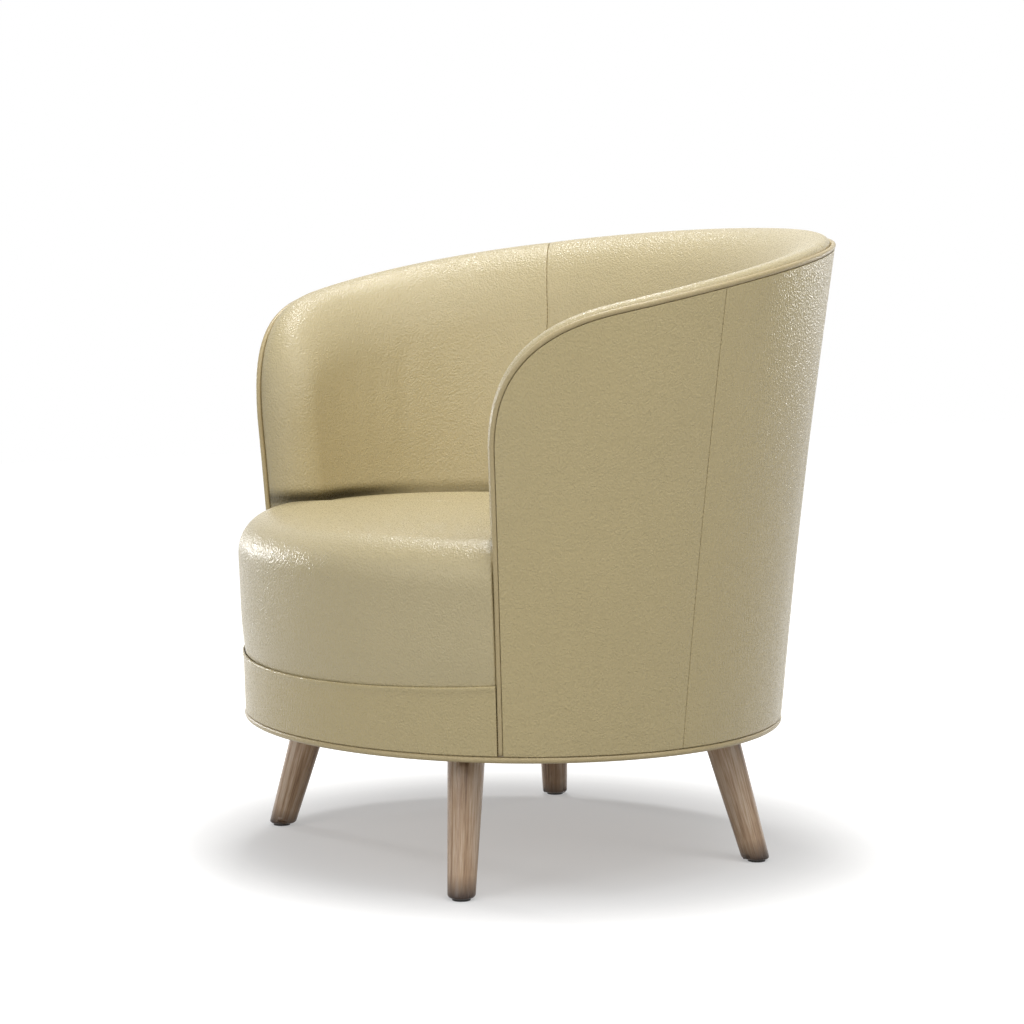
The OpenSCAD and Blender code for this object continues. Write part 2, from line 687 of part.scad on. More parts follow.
module bottom_ring() {
    place() color(ply_tan) translate([0, 0, hem_top]) difference() {
        linear_extrude(swivel_top - hem_top) polygon(notched_outline(hem_top, d_board));
        translate([0, 0, -1]) cylinder(h = swivel_top - hem_top + 2, r = ring_hole, $fn = 128);
    }
}
module swivel_board_panel() {
    place() color(ply_tan) difference() {
        translate([0, 0, swivel_top]) linear_extrude(swivel_board)
            polygon(notched_outline(swivel_top, d_board));
        translate([0, 0, swivel_top - 1]) cylinder(h = swivel_board + 2, r = pin_radius + 7, $fn = 64);
        plate_corners(swivel_screw) translate([0, 0, swivel_top - 1])
            cylinder(h = screw_length + 0.5, r = screw_radius + 0.1, $fn = 24);
    }
}
module dust_cover() {
    place() color(cloth_black) translate([0, 0, hem_top - 0.8]) difference() {
        linear_extrude(0.6) polygon(outline(hem_z, hem_cord_d + hem_welt / 2 + 1));
        translate([0, 0, -1]) cylinder(h = 3, r = ring_hole + 1, $fn = 128);
    }
}
// Curved rail: a grid of two rows between two depths that may vary with the angle
module rail(from, to, d1, d2) {
    angles = top_stations(from, to);
    grid_solid([for (u = angles) [wall(u, rail_base, d1), wall(u, rail_top, d1)]],
               [for (u = angles) [wall(u, rail_base, d2 + (thickness(u, rail_top) - arm_thickness)),
                                  wall(u, rail_top, d2 + (thickness(u, rail_top) - arm_thickness))]]);
}
rail_inner = arm_thickness + rail_ledge;
module left_rail() { place() color(beech) rail(inner_seam + 0.1, side_rail_to, d_frame, rail_inner); }
module right_rail() { place() color(beech) rail(-side_rail_to, -inner_seam - 0.1, d_frame, rail_inner); }
module back_rail() { place() color(beech) rail(-inner_seam, inner_seam, d_frame, rail_inner); }
module front_rail() {
    angles = top_stations(corner_to + 1.2, 360 - corner_to - 1.2);
    step_z = band_top_front - 1.5;
    d2 = d_board + front_rail_width;
    place() color(beech) grid_solid(
        [for (u = angles) [wall(u, rail_base, d_board), wall(u, step_z, d_board),
                           wall(u, step_z + 0.6, d_board + 4.6), wall(u, rail_top, d_board + 4.6)]],
        [for (u = angles) [for (z = [rail_base, step_z, step_z + 0.6, rail_top]) wall(u, z, d2)]]);
}
module upright(from, to, top_inset) {
    angles = top_stations(from, to);
    grid = [for (u = angles) column([u, rail_base], beside_rim(u, -top_inset), 4)];
    wall_sheet(grid, d_frame, frame_depth);
}
module arm_post(side) {
    half_span = (post_to - post_from) / 2;
    angles = [for (i = [-1:1]) side * (post_from + half_span) + half_span * i];
    grid = [for (u = angles) column([u, rail_base], [u, corner_z + post_rise], 4)];
    place() color(beech) wall_sheet(grid, d_frame, frame_depth);
}
module left_arm_post() { arm_post(1); }
module right_arm_post() { arm_post(-1); }
// The uprights stand on the rails' outer part, so they start above them
module back_uprights() {
    place() color(beech) for (u = [-75, -25, 25, 75]) {
        grid = [for (a = [u - 3.5, u + 3.5])
            column([a, rail_top + touch], beside_rim(a, -rail_drop - 1), 4)];
        wall_sheet(grid, d_frame, frame_depth);
    }
}
module top_rail() {
    grid = [for (s = top_stations(-corner_from, corner_from))
        [beside_rim(s, -rail_drop), beside_rim(s, -top_rail_drop)]];
    place() color(beech) wall_sheet(grid, d_frame, frame_depth);
}
module back_board() {
    place() color(ply_tan)
        wall_sheet(back_patch(rear_seam, rail_base, board_drop, wall_rows), d_board, board);
}
module side_board() {
    wall_sheet(arm_patch(rear_seam, rail_base, board_foot, board_drop, wall_rows), d_board, board);
}
module left_board() { place() color(ply_tan) side_board(); }
module right_board() { place() color(ply_tan) mirror([1, 0, 0]) side_board(); }
module back_liner() {
    place() color(cloth_grey) wall_sheet(back_patch(inner_seam, pad_base, liner_drop, 4), d_liner, liner);
}
module side_liner() {
    wall_sheet(arm_patch(inner_seam, pad_base, pad_foot, liner_drop, 4), d_liner, liner);
}
module left_liner() { place() color(cloth_grey) side_liner(); }
module right_liner() { place() color(cloth_grey) mirror([1, 0, 0]) side_liner(); }

// Padding and inner leather

module back_foam() { place() color(foam_cream) inner_foam(inner_back_stations, inner_back_stations); }
module left_arm_foam() { place() color(foam_cream) inner_foam(inner_arm_stations, inner_arm_angles); }
module right_arm_foam() {
    place() color(foam_cream) mirror([1, 0, 0]) inner_foam(inner_arm_stations, inner_arm_angles);
}
module inner_back_cover() {
    place() color(leather_tan) inner_cover(inner_back_stations, inner_back_stations);
}
module left_inner_cover() { place() color(leather_tan) inner_cover(inner_arm_stations, inner_arm_angles); }
module right_inner_cover() {
    place() color(leather_tan) mirror([1, 0, 0]) inner_cover(inner_arm_stations, inner_arm_angles);
}

// Outer leather

module back_outer_cover() {
    place() color(leather_shade)
        wall_sheet(back_patch(rear_seam, hem_top, -panel_edge, wall_rows), 0, leather);
}
module rear_cover() {
    wall_sheet(rear_patch(rear_seam, side_seam, hem_top, -panel_edge, wall_rows), 0, leather);
}
module left_rear_cover() { place() color(leather_shade) rear_cover(); }
module right_rear_cover() { place() color(leather_shade) mirror([1, 0, 0]) rear_cover(); }
module arm_cover() {
    wall_sheet(arm_patch(side_seam, hem_top, cover_foot, -panel_edge, wall_rows), 0, leather);
}
module left_arm_cover() { place() color(leather_shade) arm_cover(); }
module right_arm_cover() { place() color(leather_shade) mirror([1, 0, 0]) arm_cover(); }
module rim_welt_cord() { place() color(leather_shade) ring_solid(rim_rings); }
module hem_welt_cord() { place() color(leather_shade) loop_solid(hem_rings); }
module front_band() {
    angles = top_stations(corner_to + 0.8, 360 - corner_to - 0.8);
    grid = [for (u = angles) column([u, hem_top], [u, band_top(u)], 2)];
    place() color(leather_shade) wall_sheet(grid, 0, leather);
}

// Springs, deck and seat

spring_z = rail_top + spring_wire / 2 + touch;
// Point where the spring at x meets the middle of the back rail's ledge, and its hold on the front rail
function spring_angle(x, d) = asin(x / (half_width(rail_top) - d));
function spring_back(x) =
    let (u = spring_angle(x, arm_thickness + back_extra_low))
    wall(u, rail_top, thickness(u, rail_top) + rail_ledge / 2)[1];
function spring_front(x) =
    let (d = d_board + front_rail_width - 14)
    wall(180 - spring_angle(x, d), rail_top, d)[1];
spring_x = [for (i = [-2:2]) i * spring_pitch];
// Wavy wire with straight ends: across the seat as it runs from front to back
function spring_path(x) =
    let (a = spring_front(x), b = spring_back(x), waves = 3, n = 8 * waves)
    [for (i = [0:n])
        let (fade = min(1, 3 * max(0, min(i, n - i) - 1) / n))
        [x + spring_wave * fade * sin(i * 360 / 8), a + (b - a) * i / n, spring_z]];
function wire_ring(p, dir, r) = [
    for (k = [0:3]) p + r * (cos(k * 90) * [-dir[1], dir[0], 0] + sin(k * 90) * [0, 0, 1])];
function unit(v) = v / norm(v);
module spring(x) {
    path = spring_path(x);
    n = len(path);
    ring_solid([for (i = [0:n - 1])
        wire_ring(path[i], unit(path[min(n - 1, i + 1)] - path[max(0, i - 1)]), spring_wire / 2)]);
}
module seat_springs() { place() color(steel) for (x = spring_x) spring(x); }
// Saddle clip over the wire, with a foot on each side of it
clip_width = 18;
clip_length = 10;
clip_height = spring_wire + 1.4;
wire_slot = spring_wire / 2 + 0.1;
module clip(x, y) {
    translate([x, y, rail_top]) difference() {
        translate([-clip_width / 2, -clip_length / 2, 0]) cube([clip_width, clip_length, clip_height]);
        translate([0, -clip_length, spring_z - rail_top]) rotate([-90, 0, 0])
            cylinder(h = 2 * clip_length, r = wire_slot, $fn = 24);
        translate([-wire_slot, -clip_length, -1])
            cube([2 * wire_slot, 2 * clip_length, spring_z - rail_top + 1]);
    }
}
module spring_clips() {
    place() color(zinc) for (x = spring_x) {
        clip(x, spring_front(x) - 1);
        clip(x, spring_back(x) + 1);
    }
}
deck_z = rail_top + clip_height + touch;
module deck_cloth_sheet() {
    place() color(cloth_grey) translate([0, 0, deck_z]) linear_extrude(deck_cloth)
        polygon([for (c = seat_columns) let (p = seat_side(c, 0, 8, deck_z)) [p[0], p[1]]]);
}
seat_foam_z = deck_z + deck_cloth + touch;
module seat_foam() { place() color(foam_cream) ring_solid(seat_rings(leather + 0.4, seat_foam_z)); }
module seat_cover() { place() color(leather_tan) ring_shell(seat_outer, seat_rings(leather, 0)); }

front_left_leg();
front_right_leg();
back_left_leg();
back_right_leg();
foot_glides();
hanger_bolts();
leg_plates();
leg_plate_screws();
base_platform();
lower_swivel_plate();
lower_race();
lower_plate_screws();
king_pin();
ball_cage();
bearing_balls();
upper_swivel_plate();
upper_race();
upper_plate_screws();
bottom_ring();
swivel_board_panel();
front_rail();
left_rail();
right_rail();
back_rail();
left_arm_post();
right_arm_post();
back_uprights();
top_rail();
back_board();
left_board();
right_board();
back_liner();
left_liner();
right_liner();
back_foam();
left_arm_foam();
right_arm_foam();
inner_back_cover();
left_inner_cover();
right_inner_cover();
back_outer_cover();
left_rear_cover();
right_rear_cover();
left_arm_cover();
right_arm_cover();
rim_welt_cord();
front_band();
hem_welt_cord();
dust_cover();
seat_springs();
spring_clips();
deck_cloth_sheet();
seat_foam();
seat_cover();
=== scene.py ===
"""A barrel-backed swivel armchair in pale khaki pebbled leather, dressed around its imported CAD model.

Lengths are in millimetres and angles in degrees until a point goes into a mesh. The tub's wall is
described by an outline angle u (0 at the back, growing towards the left arm at +X), a height z and
a depth d inside the outer leather, as it is in the part's own source.
"""

import math

import bmesh
import bpy
from mathutils import Matrix, Vector, noise


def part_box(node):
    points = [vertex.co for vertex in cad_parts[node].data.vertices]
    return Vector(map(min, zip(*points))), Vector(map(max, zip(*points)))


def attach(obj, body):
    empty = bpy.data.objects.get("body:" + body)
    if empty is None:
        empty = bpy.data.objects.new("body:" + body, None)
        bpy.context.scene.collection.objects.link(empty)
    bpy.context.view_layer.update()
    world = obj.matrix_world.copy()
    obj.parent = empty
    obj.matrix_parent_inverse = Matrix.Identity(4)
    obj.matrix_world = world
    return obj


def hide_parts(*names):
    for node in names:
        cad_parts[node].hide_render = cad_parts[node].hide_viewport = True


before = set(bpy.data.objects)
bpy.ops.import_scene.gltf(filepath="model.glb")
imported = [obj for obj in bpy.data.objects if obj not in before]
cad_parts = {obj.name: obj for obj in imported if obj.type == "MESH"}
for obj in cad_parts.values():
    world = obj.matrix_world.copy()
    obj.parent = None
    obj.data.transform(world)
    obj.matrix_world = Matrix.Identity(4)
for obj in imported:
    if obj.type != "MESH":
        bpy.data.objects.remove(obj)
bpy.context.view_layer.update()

MM = 0.001
pin_low, pin_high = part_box("king_pin")
AXIS_Y = (pin_low.y + pin_high.y) / 2 / MM

# Sizes of the tub's wall. They and the ones below are the part's own, unless a comment says otherwise
HEM_Z = 172.6
HEM_HALF_WIDTH = 360.0
HEM_HALF_DEPTH = 335.8
SIDE_FLARE = 0.0843
END_FLARE = 0.0352
WALL_BELLY = 15.5
BACK_LEAN = 0.0238
MIDDLE_AT_HEM = 0.8
ARM_THICKNESS = 75.0
BACK_EXTRA_TOP = 8.0
BACK_EXTRA_LOW = 32.0
LAYER_GAP = 0.9

# Depths of the frame's outer face and of the inner liner's back, inside the outer leather
FRAME_FACE = 9.8
LINER_BACK = 39.6

# The rim line and the arm's front corner. Over the arms the leather's rim runs 3 to 4 mm lower than
# the part's, so the side height, the rise and the drop are the leather's own
RIM_SIDE_Z = 717.2
RIM_RISE = 76.1
RIM_SAG = 16.2
SWING_FROM = 100.0
CORNER_FROM = 105.0
CORNER_TO = 127.5
CORNER_DROP = 127.5
CORNER_POWER = 2.58
FRONT_EDGE_ANGLE = 123.7

# The padded roll, slimmer than the part's: its height over the rim line and what that gains at the
# back, how far below the line it leaves the inner face, and how far its crest lies from the welt. The
# front values hold on the arm's front edge
ROLL_RISE = 7.8
ROLL_BACK_RISE = 3.0
ROLL_FRONT_RISE = 9.0
ROLL_DEPTH = 90.0
ROLL_FRONT_DEPTH = 38.0
ROLL_CREST = 11.0
ROLL_FRONT_CREST = 24.0

# Welts, and where the leather starts beside and under them
HEM_WELT = 8.0
RIM_WELT = 7.0
WELT_STAND = 1.0
WELT_GAP = 0.3
HEM_TOP = HEM_Z + HEM_WELT / 2 + WELT_GAP
RIM_CORD_D = RIM_WELT / 2 - WELT_STAND
HEM_CORD_D = HEM_WELT / 2 - WELT_STAND
ROLL_START_D = RIM_CORD_D + RIM_WELT / 2 + WELT_GAP
PANEL_EDGE = RIM_WELT / 2 + 0.1
UNDER_RIM = 8.7

# Seams and the feet of the front columns, as outline angles, and half of the slit between two panels,
# which is finer than the part's
SIDE_SEAM = 85.4
REAR_SEAM = 45.0
INNER_SEAM = 50.0
COVER_FOOT = 118.0
PAD_FOOT = 116.0
SLIT = 0.012

# Seat and band. The side radius and the tuck behind the band are the leather's own
SEAT_EDGE_Z = 428.0
SEAT_CROWN = 13.0
SEAT_FRONT_RADIUS = 50.0
SEAT_SIDE_RADIUS = 13.0
SEAT_BULGE = 0.8
SEAT_TUCK = 3.4
SEAT_BASE = 262.0
SEAT_FORWARD = 40.0
BAND_TOP_FRONT = 250.0
BAND_TOP_SIDE = 261.0
PAD_BASE = 256.7
DECK_Z = 261.0

# The fold that the seat presses into the padding, which the part leaves out, and its share at the back
CREASE_DEPTH = 13.0
CREASE_HEIGHT = 18.0
CREASE_AT_BACK = 0.3

# Base
PLATFORM_RADIUS = 300.0
RING_HOLE = 308.0
LEG_TOP_Z = 162.5
LEG_INSET = 26.5
LEG_DIRECTION = 41.4
SPLAY_X = 41.8
SPLAY_Y = 30.0
LEG_TOP_RADIUS = 22.6
FOOT_RADIUS = 16.6
GLIDE = 3.0


# The tub's wall

def sine(a):
    return math.sin(math.radians(a))


def cosine(a):
    return math.cos(math.radians(a))


def clamp(x, low=0.0, high=1.0):
    return max(low, min(high, x))


def ease(x):
    x = clamp(x)
    return x * x * (3 - 2 * x)


def belly(z):
    return WALL_BELLY * ((z - HEM_Z) / (RIM_SIDE_Z - HEM_Z)) ** 2


def half_width(z):
    return HEM_HALF_WIDTH + SIDE_FLARE * (z - HEM_Z) + belly(z)


def half_depth(z):
    return HEM_HALF_DEPTH + END_FLARE * (z - HEM_Z) + belly(z)


MM_PER_DEGREE = half_width((HEM_Z + RIM_SIDE_Z) / 2) * math.pi / 180


def rim_z(u):
    return RIM_SIDE_Z + RIM_RISE * cosine(u) - RIM_SAG * cosine(u) ** 2


CORNER_Z = rim_z(CORNER_TO) - CORNER_DROP


def front_angle(z):
    """The angle about the axis of the arm's front edge at height z."""
    share = (z - HEM_Z) / (CORNER_Z - HEM_Z)
    return min(CORNER_TO, FRONT_EDGE_ANGLE + (CORNER_TO - FRONT_EDGE_ANGLE) * share)


def turned(u, z):
    """The outline angle u as an angle about the axis: the arm's front edge swings with height."""
    if u > 180:
        return -turned(360 - u, z)
    if u < 0:
        return -turned(-u, z)
    if u < SWING_FROM:
        return u
    front = front_angle(z)
    if u < CORNER_TO:
        return SWING_FROM + (u - SWING_FROM) * (front - SWING_FROM) / (CORNER_TO - SWING_FROM)
    return front + (u - CORNER_TO) * (180 - front) / (180 - CORNER_TO)


def wall(u, z, d):
    """The point at outline angle u, height z and depth d inside the outer leather, in metres."""
    a = turned(u, z)
    x = (half_width(z) - d) * sine(a)
    y = (half_depth(z) - d) * cosine(a) + BACK_LEAN * (z - HEM_Z) - MIDDLE_AT_HEM
    return Vector((x, y + AXIS_Y, z)) * MM


def thickness(u, z):
    """How deep the inner face lies inside the outer leather."""
    low = clamp((RIM_SIDE_Z - z) / (RIM_SIDE_Z - SEAT_EDGE_Z))
    return ARM_THICKNESS + max(0.0, cosine(u)) ** 1.5 * (BACK_EXTRA_TOP + BACK_EXTRA_LOW * low)


def rim(s):
    """(angle, height) along the rim: s is an angle up to the arm's corner, which takes the next 90,
    and then each 1 is a hundredth of the arm's front edge."""
    if s < 0:
        u, z = rim(-s)
        return -u, z
    if s <= CORNER_FROM:
        return s, rim_z(s)
    if s < CORNER_FROM + 90:
        f = s - CORNER_FROM
        u = CORNER_FROM + (CORNER_TO - CORNER_FROM) * sine(f) ** (2 / CORNER_POWER)
        return u, rim_z(u) - CORNER_DROP * (1 - cosine(f) ** (2 / CORNER_POWER))
    return CORNER_TO, CORNER_Z - (s - CORNER_FROM - 90) * (CORNER_Z - HEM_Z) / 100


def front_s(z):
    """The rim's station at height z on the arm's front edge."""
    return CORNER_FROM + 90 + 100 * (CORNER_Z - z) / (CORNER_Z - HEM_Z)


def beside_rim(s, h):
    """(angle, height) at a distance h outside the rim line."""
    (u0, z0), (u1, z1) = rim(s - 0.6), rim(s + 0.6)
    du, dz = (u1 - u0) * MM_PER_DEGREE, z1 - z0
    length = math.hypot(du, dz)
    u, z = rim(s)
    return u - h * dz / length / MM_PER_DEGREE, z + h * du / length


def down_front(s):
    """How far a place on the rim has turned from the top, 0, to the arm's front edge, 1."""
    return ease((abs(s) - CORNER_FROM) / 90)


def roll_depth(s):
    """How far below the rim line the roll leaves the inner face."""
    return ROLL_DEPTH + (ROLL_FRONT_DEPTH - ROLL_DEPTH) * down_front(s)


def roll_point(s, f):
    """The padded roll over the rim, f from 0 at the inner face to 180 at the welt.

    Its crest is beside the welt, and on top it falls away inwards over a long way."""
    u, z = rim(s)
    front, low = down_front(s), roll_depth(s)
    high = ROLL_RISE + ROLL_BACK_RISE * max(0.0, cosine(u)) ** 3
    high += (ROLL_FRONT_RISE - high) * front
    crest = ROLL_CREST + (ROLL_FRONT_CREST - ROLL_CREST) * front
    rise = (low + high) * sine(f) - low if f < 90 else (high + 1) * sine(f) - 1
    u, z = beside_rim(s, rise)
    wide = thickness(u, z) - ROLL_START_D - crest if f < 90 else crest
    return u, z, ROLL_START_D + crest + wide * cosine(f)


def crease(u, z):
    """How far the inner leather draws back where the seat presses into it, most beside the arms."""
    from_back = 180 - abs(180 - abs(u))
    deepest = CREASE_AT_BACK + (1 - CREASE_AT_BACK) * ease((from_back - 80) / 30)
    return CREASE_DEPTH * deepest * (1 - ease(abs(z - SEAT_EDGE_Z + 4) / CREASE_HEIGHT))


def band_top(u):
    """The height of the band's top edge, which climbs a little towards the arms."""
    share = clamp(abs(180 - u) / (180 - CORNER_TO))
    return BAND_TOP_FRONT + (BAND_TOP_SIDE - BAND_TOP_FRONT) * share ** 2


# Spacing

COLUMN_STEP = 6.5
EDGE_STEPS = (0.5, 1.0, 1.6, 2.5, 4.0, 6.5)


def evenly(path, count):
    """The path's parameter at count + 1 places that are evenly far apart, and the path's length.

    path is a list of (parameter, point)."""
    lengths = [0.0]
    for (_, p), (_, q) in zip(path, path[1:]):
        lengths.append(lengths[-1] + math.dist(p, q))
    found, k = [], 0
    for i in range(count + 1):
        want = lengths[-1] * i / count
        while k < len(path) - 2 and lengths[k + 1] < want:
            k += 1
        share = (want - lengths[k]) / max(1e-9, lengths[k + 1] - lengths[k])
        found.append(path[k][0] + (path[k + 1][0] - path[k][0]) * share)
    return found, lengths[-1]


def rim_stations(start, end, step):
    """Stations along the rim about step apart, and the length of rim between them."""
    path = []
    for i in range(401):
        s = start + (end - start) * i / 400
        u, z = rim(s)
        path.append((s, (u * MM_PER_DEGREE, z)))
    length = evenly(path, 1)[1]
    return evenly(path, max(2, round(length / step)))[0], length


def spaced(length, step, fine=EDGE_STEPS):
    """Shares from 0 to 1 along a length, close together at its ends, where an edge turns in."""
    middle = length - 2 * fine[-1]
    count = max(1, round(middle / step))
    inner = [fine[-1] + middle * i / count for i in range(1, count)]
    ends = [0.0, *fine]
    return [x / length for x in ends + inner] + [1 - x / length for x in reversed(ends)]


def panel_columns(start, end, foot_end, fine=EDGE_STEPS):
    """Columns of a wall panel between two stations of the rim: (foot angle, station, mm from each side).

    Past the arm's corner the rim runs down, and the columns' feet close up between the corner and
    foot_end."""
    stations, length = rim_stations(start, end, 3.0)
    columns, corner = [], 0.0
    for share in spaced(length, COLUMN_STEP, fine):
        place = share * (len(stations) - 1)
        k = min(len(stations) - 2, int(place))
        s = stations[k] + (stations[k + 1] - stations[k]) * (place - k)
        if s <= CORNER_FROM:
            corner, foot = share, s
        else:
            foot = CORNER_FROM + (foot_end - CORNER_FROM) * (share - corner) / (1 - corner)
        columns.append((foot, s, share * length, (1 - share) * length))
    return columns


def up_wall(foot, s, below_rim, base, t):
    """(angle, height) at share t of the way from the foot, at height base, up to below_rim from the rim."""
    top_u, top_z = beside_rim(s, -below_rim)
    return foot + (top_u - foot) * t, base + (top_z - base) * t


# Making meshes

def finish_mesh(name, bm):
    """Makes a smooth-shaded piece of the bmesh, at the scene's origin."""
    mesh = bpy.data.meshes.new(name)
    bm.to_mesh(mesh)
    bm.free()
    for face in mesh.polygons:
        face.use_smooth = True
    piece = bpy.data.objects.new(name, mesh)
    bpy.context.scene.collection.objects.link(piece)
    return piece


def grid(columns, rows, place):
    """A bmesh grid of columns by rows points, each put at place(column, row)."""
    bm = bmesh.new()
    bmesh.ops.create_grid(bm, x_segments=columns - 1, y_segments=rows - 1, size=1)
    for v in bm.verts:
        column = round((v.co.x + 1) / 2 * (columns - 1))
        row = round((v.co.y + 1) / 2 * (rows - 1))
        v.co = place(column, row)
    return bm


def merge(bm, reach=0.02):
    """Merges the doubles where a grid closes on itself, up to reach mm apart."""
    bmesh.ops.remove_doubles(bm, verts=bm.verts, dist=reach * MM)
    bmesh.ops.dissolve_degenerate(bm, edges=bm.edges, dist=1e-6)


def close(bm):
    """Closes the open ends flat, with a sharp rim that a later subdivision keeps to."""
    sharp = bm.edges.layers.float.new("crease_edge")
    rims = [e for e in bm.edges if e.is_boundary]
    made = bmesh.ops.holes_fill(bm, edges=rims, sides=0)["faces"]
    bmesh.ops.triangulate(bm, faces=made)
    for e in rims:
        e[sharp] = 1.0


def face_out(bm):
    bmesh.ops.recalc_face_normals(bm, faces=bm.faces)
    if bm.calc_volume(signed=True) < 0:
        bmesh.ops.reverse_faces(bm, faces=bm.faces)


def lay(bm, up):
    """Turns the faces of an open sheet all up, or all down."""
    if (sum(face.normal.z for face in bm.faces) > 0) != up:
        bmesh.ops.reverse_faces(bm, faces=bm.faces)


def mirrored(bm):
    """The same shape on the other side of the chair."""
    bmesh.ops.scale(bm, vec=(-1, 1, 1), verts=bm.verts)
    bmesh.ops.reverse_faces(bm, faces=bm.faces)
    return bm


def both_sides(lines):
    return lines + [[Vector((-p.x, p.y, p.z)) for p in line] for line in lines]


def dress(piece, body, slot, material, *replaced):
    """Gives a piece its material and its body, and hides the CAD solids that it stands for. slot is not used.
    """
    piece.data.materials.clear()
    piece.data.materials.append(material)
    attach(piece, body)
    if replaced:
        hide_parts(*replaced)
    return piece


def thicken(piece, thick, offset=-1):
    shell = piece.modifiers.new("thickness", "SOLIDIFY")
    shell.thickness = thick * MM
    shell.offset = offset


def subdivide(piece):
    finer = piece.modifiers.new("finer", "SUBSURF")
    finer.levels = finer.render_levels = 1


def spread_along(line, pitch):
    """(point, direction) every pitch mm along a line of points."""
    path = [(k, p) for k, p in enumerate(line)]
    length = evenly(path, 1)[1] / MM
    places = evenly(path, max(1, round(length / pitch)))[0]
    found = []
    for place in places[:-1]:
        k = min(len(line) - 2, int(place))
        found.append((line[k].lerp(line[k + 1], place - k), (line[k + 1] - line[k]).normalized()))
    return found


def repeat(name, shape, places):
    """One piece made of a small shape, set along z in its own bmesh, at each (point, direction)."""
    small = bpy.data.meshes.new("small")
    shape.to_mesh(small)
    shape.free()
    bm = bmesh.new()
    for point, way in places:
        first = len(bm.verts)
        bm.from_mesh(small)
        bm.verts.ensure_lookup_table()
        turn = Vector((0, 0, 1)).rotation_difference(way).to_matrix().to_4x4()
        bmesh.ops.transform(bm, matrix=Matrix.Translation(point) @ turn, verts=bm.verts[first:])
    bpy.data.meshes.remove(small)
    return finish_mesh(name, bm)


SIM_FRAMES = 14
PRESSURE = 4.0
EVENING = 6


def plump(piece, hold, cap):
    """Lets the padding press the leather out, as a cloth simulation that hold(vertex index) pins.

    No point ends more than cap mm from where it was cut."""
    mesh = piece.data
    group = piece.vertex_groups.new(name="held")
    for v in mesh.vertices:
        group.add([v.index], hold(v.index), "REPLACE")
    cloth = piece.modifiers.new("plump", "CLOTH")
    rules = cloth.settings
    rules.quality = 4
    rules.mass = 0.3
    rules.tension_stiffness = rules.compression_stiffness = 150
    rules.shear_stiffness = 60
    rules.bending_stiffness = 8
    rules.vertex_group_mass = group.name
    rules.use_pressure = True
    rules.uniform_pressure_force = PRESSURE
    rules.effector_weights.gravity = 0
    cloth.point_cache.frame_start, cloth.point_cache.frame_end = 1, SIM_FRAMES
    for number in range(1, SIM_FRAMES + 1):
        bpy.context.scene.frame_set(number)
    seen = piece.evaluated_get(bpy.context.evaluated_depsgraph_get())
    swell = [(v.co - w.co).dot(w.normal) for v, w in zip(seen.data.vertices, mesh.vertices)]
    piece.modifiers.remove(cloth)
    piece.vertex_groups.clear()
    # The simulation's creases are finer than leather this thick can make, so they are evened out
    for _ in range(EVENING):
        total, count = swell[:], [1] * len(swell)
        for a, b in mesh.edge_keys:
            total[a] += swell[b]
            total[b] += swell[a]
            count[a] += 1
            count[b] += 1
        swell = [s / n for s, n in zip(total, count)]
    for v, out in zip(mesh.vertices, swell):
        v.co += v.normal * out * cap * MM / (cap * MM + abs(out))
    mesh.update()
    bpy.context.scene.frame_set(1)


# Materials

def linear(code):
    """A colour written as sRGB hex, as the linear values that shaders take."""
    values = [int(code[i:i + 2], 16) / 255 for i in (1, 3, 5)]
    return [v / 12.92 if v <= 0.04045 else ((v + 0.055) / 1.055) ** 2.4 for v in values] + [1.0]


def new_material(name):
    material = bpy.data.materials.new(name)
    material.use_nodes = True
    material.node_tree.nodes.clear()
    return material


def add(material, kind, settings=None, stops=(), **inputs):
    """Adds one node. settings go on the node, and inputs on its sockets: a value, or a socket to link.

    stops are a colour ramp's (position, sRGB hex)."""
    tree = material.node_tree
    node = tree.nodes.new("ShaderNode" + kind)
    for key, value in (settings or {}).items():
        setattr(node, key, value)
    for i, (position, code) in enumerate(stops):
        elements = node.color_ramp.elements
        if i >= len(elements):
            elements.new(position)
        elements[i].position, elements[i].color = position, linear(code)
    for key, value in inputs.items():
        name = key.replace("_", " ")
        socket = node.inputs[int(key[1:])] if key[1:].isdigit() else node.inputs[name]
        if isinstance(value, bpy.types.NodeSocket):
            tree.links.new(value, socket)
        else:
            socket.default_value = value
    return node


def surface(m, colour, roughness, height, relief, metallic=0.0, ior=1.5):
    """Joins a colour, a gloss and a bump of relief millimetres into the material's shader."""
    bump = add(m, "Bump", Height=height, Strength=1.0, Distance=relief * MM)
    shader = add(m, "BsdfPrincipled", Base_Color=colour, Roughness=roughness, Metallic=metallic, IOR=ior,
                 Normal=bump.outputs["Normal"])
    add(m, "OutputMaterial", Surface=shader.outputs["BSDF"])
    return m


def fibres(m, place, across, along, detail=3.0):
    """The height of fibres drawn out along z: across and along are a streak's size in millimetres."""
    drawn = add(m, "Mapping", Vector=place, Scale=(1, 1, across / along)).outputs["Vector"]
    return add(m, "TexNoise", Vector=drawn, Scale=1 / (across * MM), Detail=detail).outputs["Fac"]


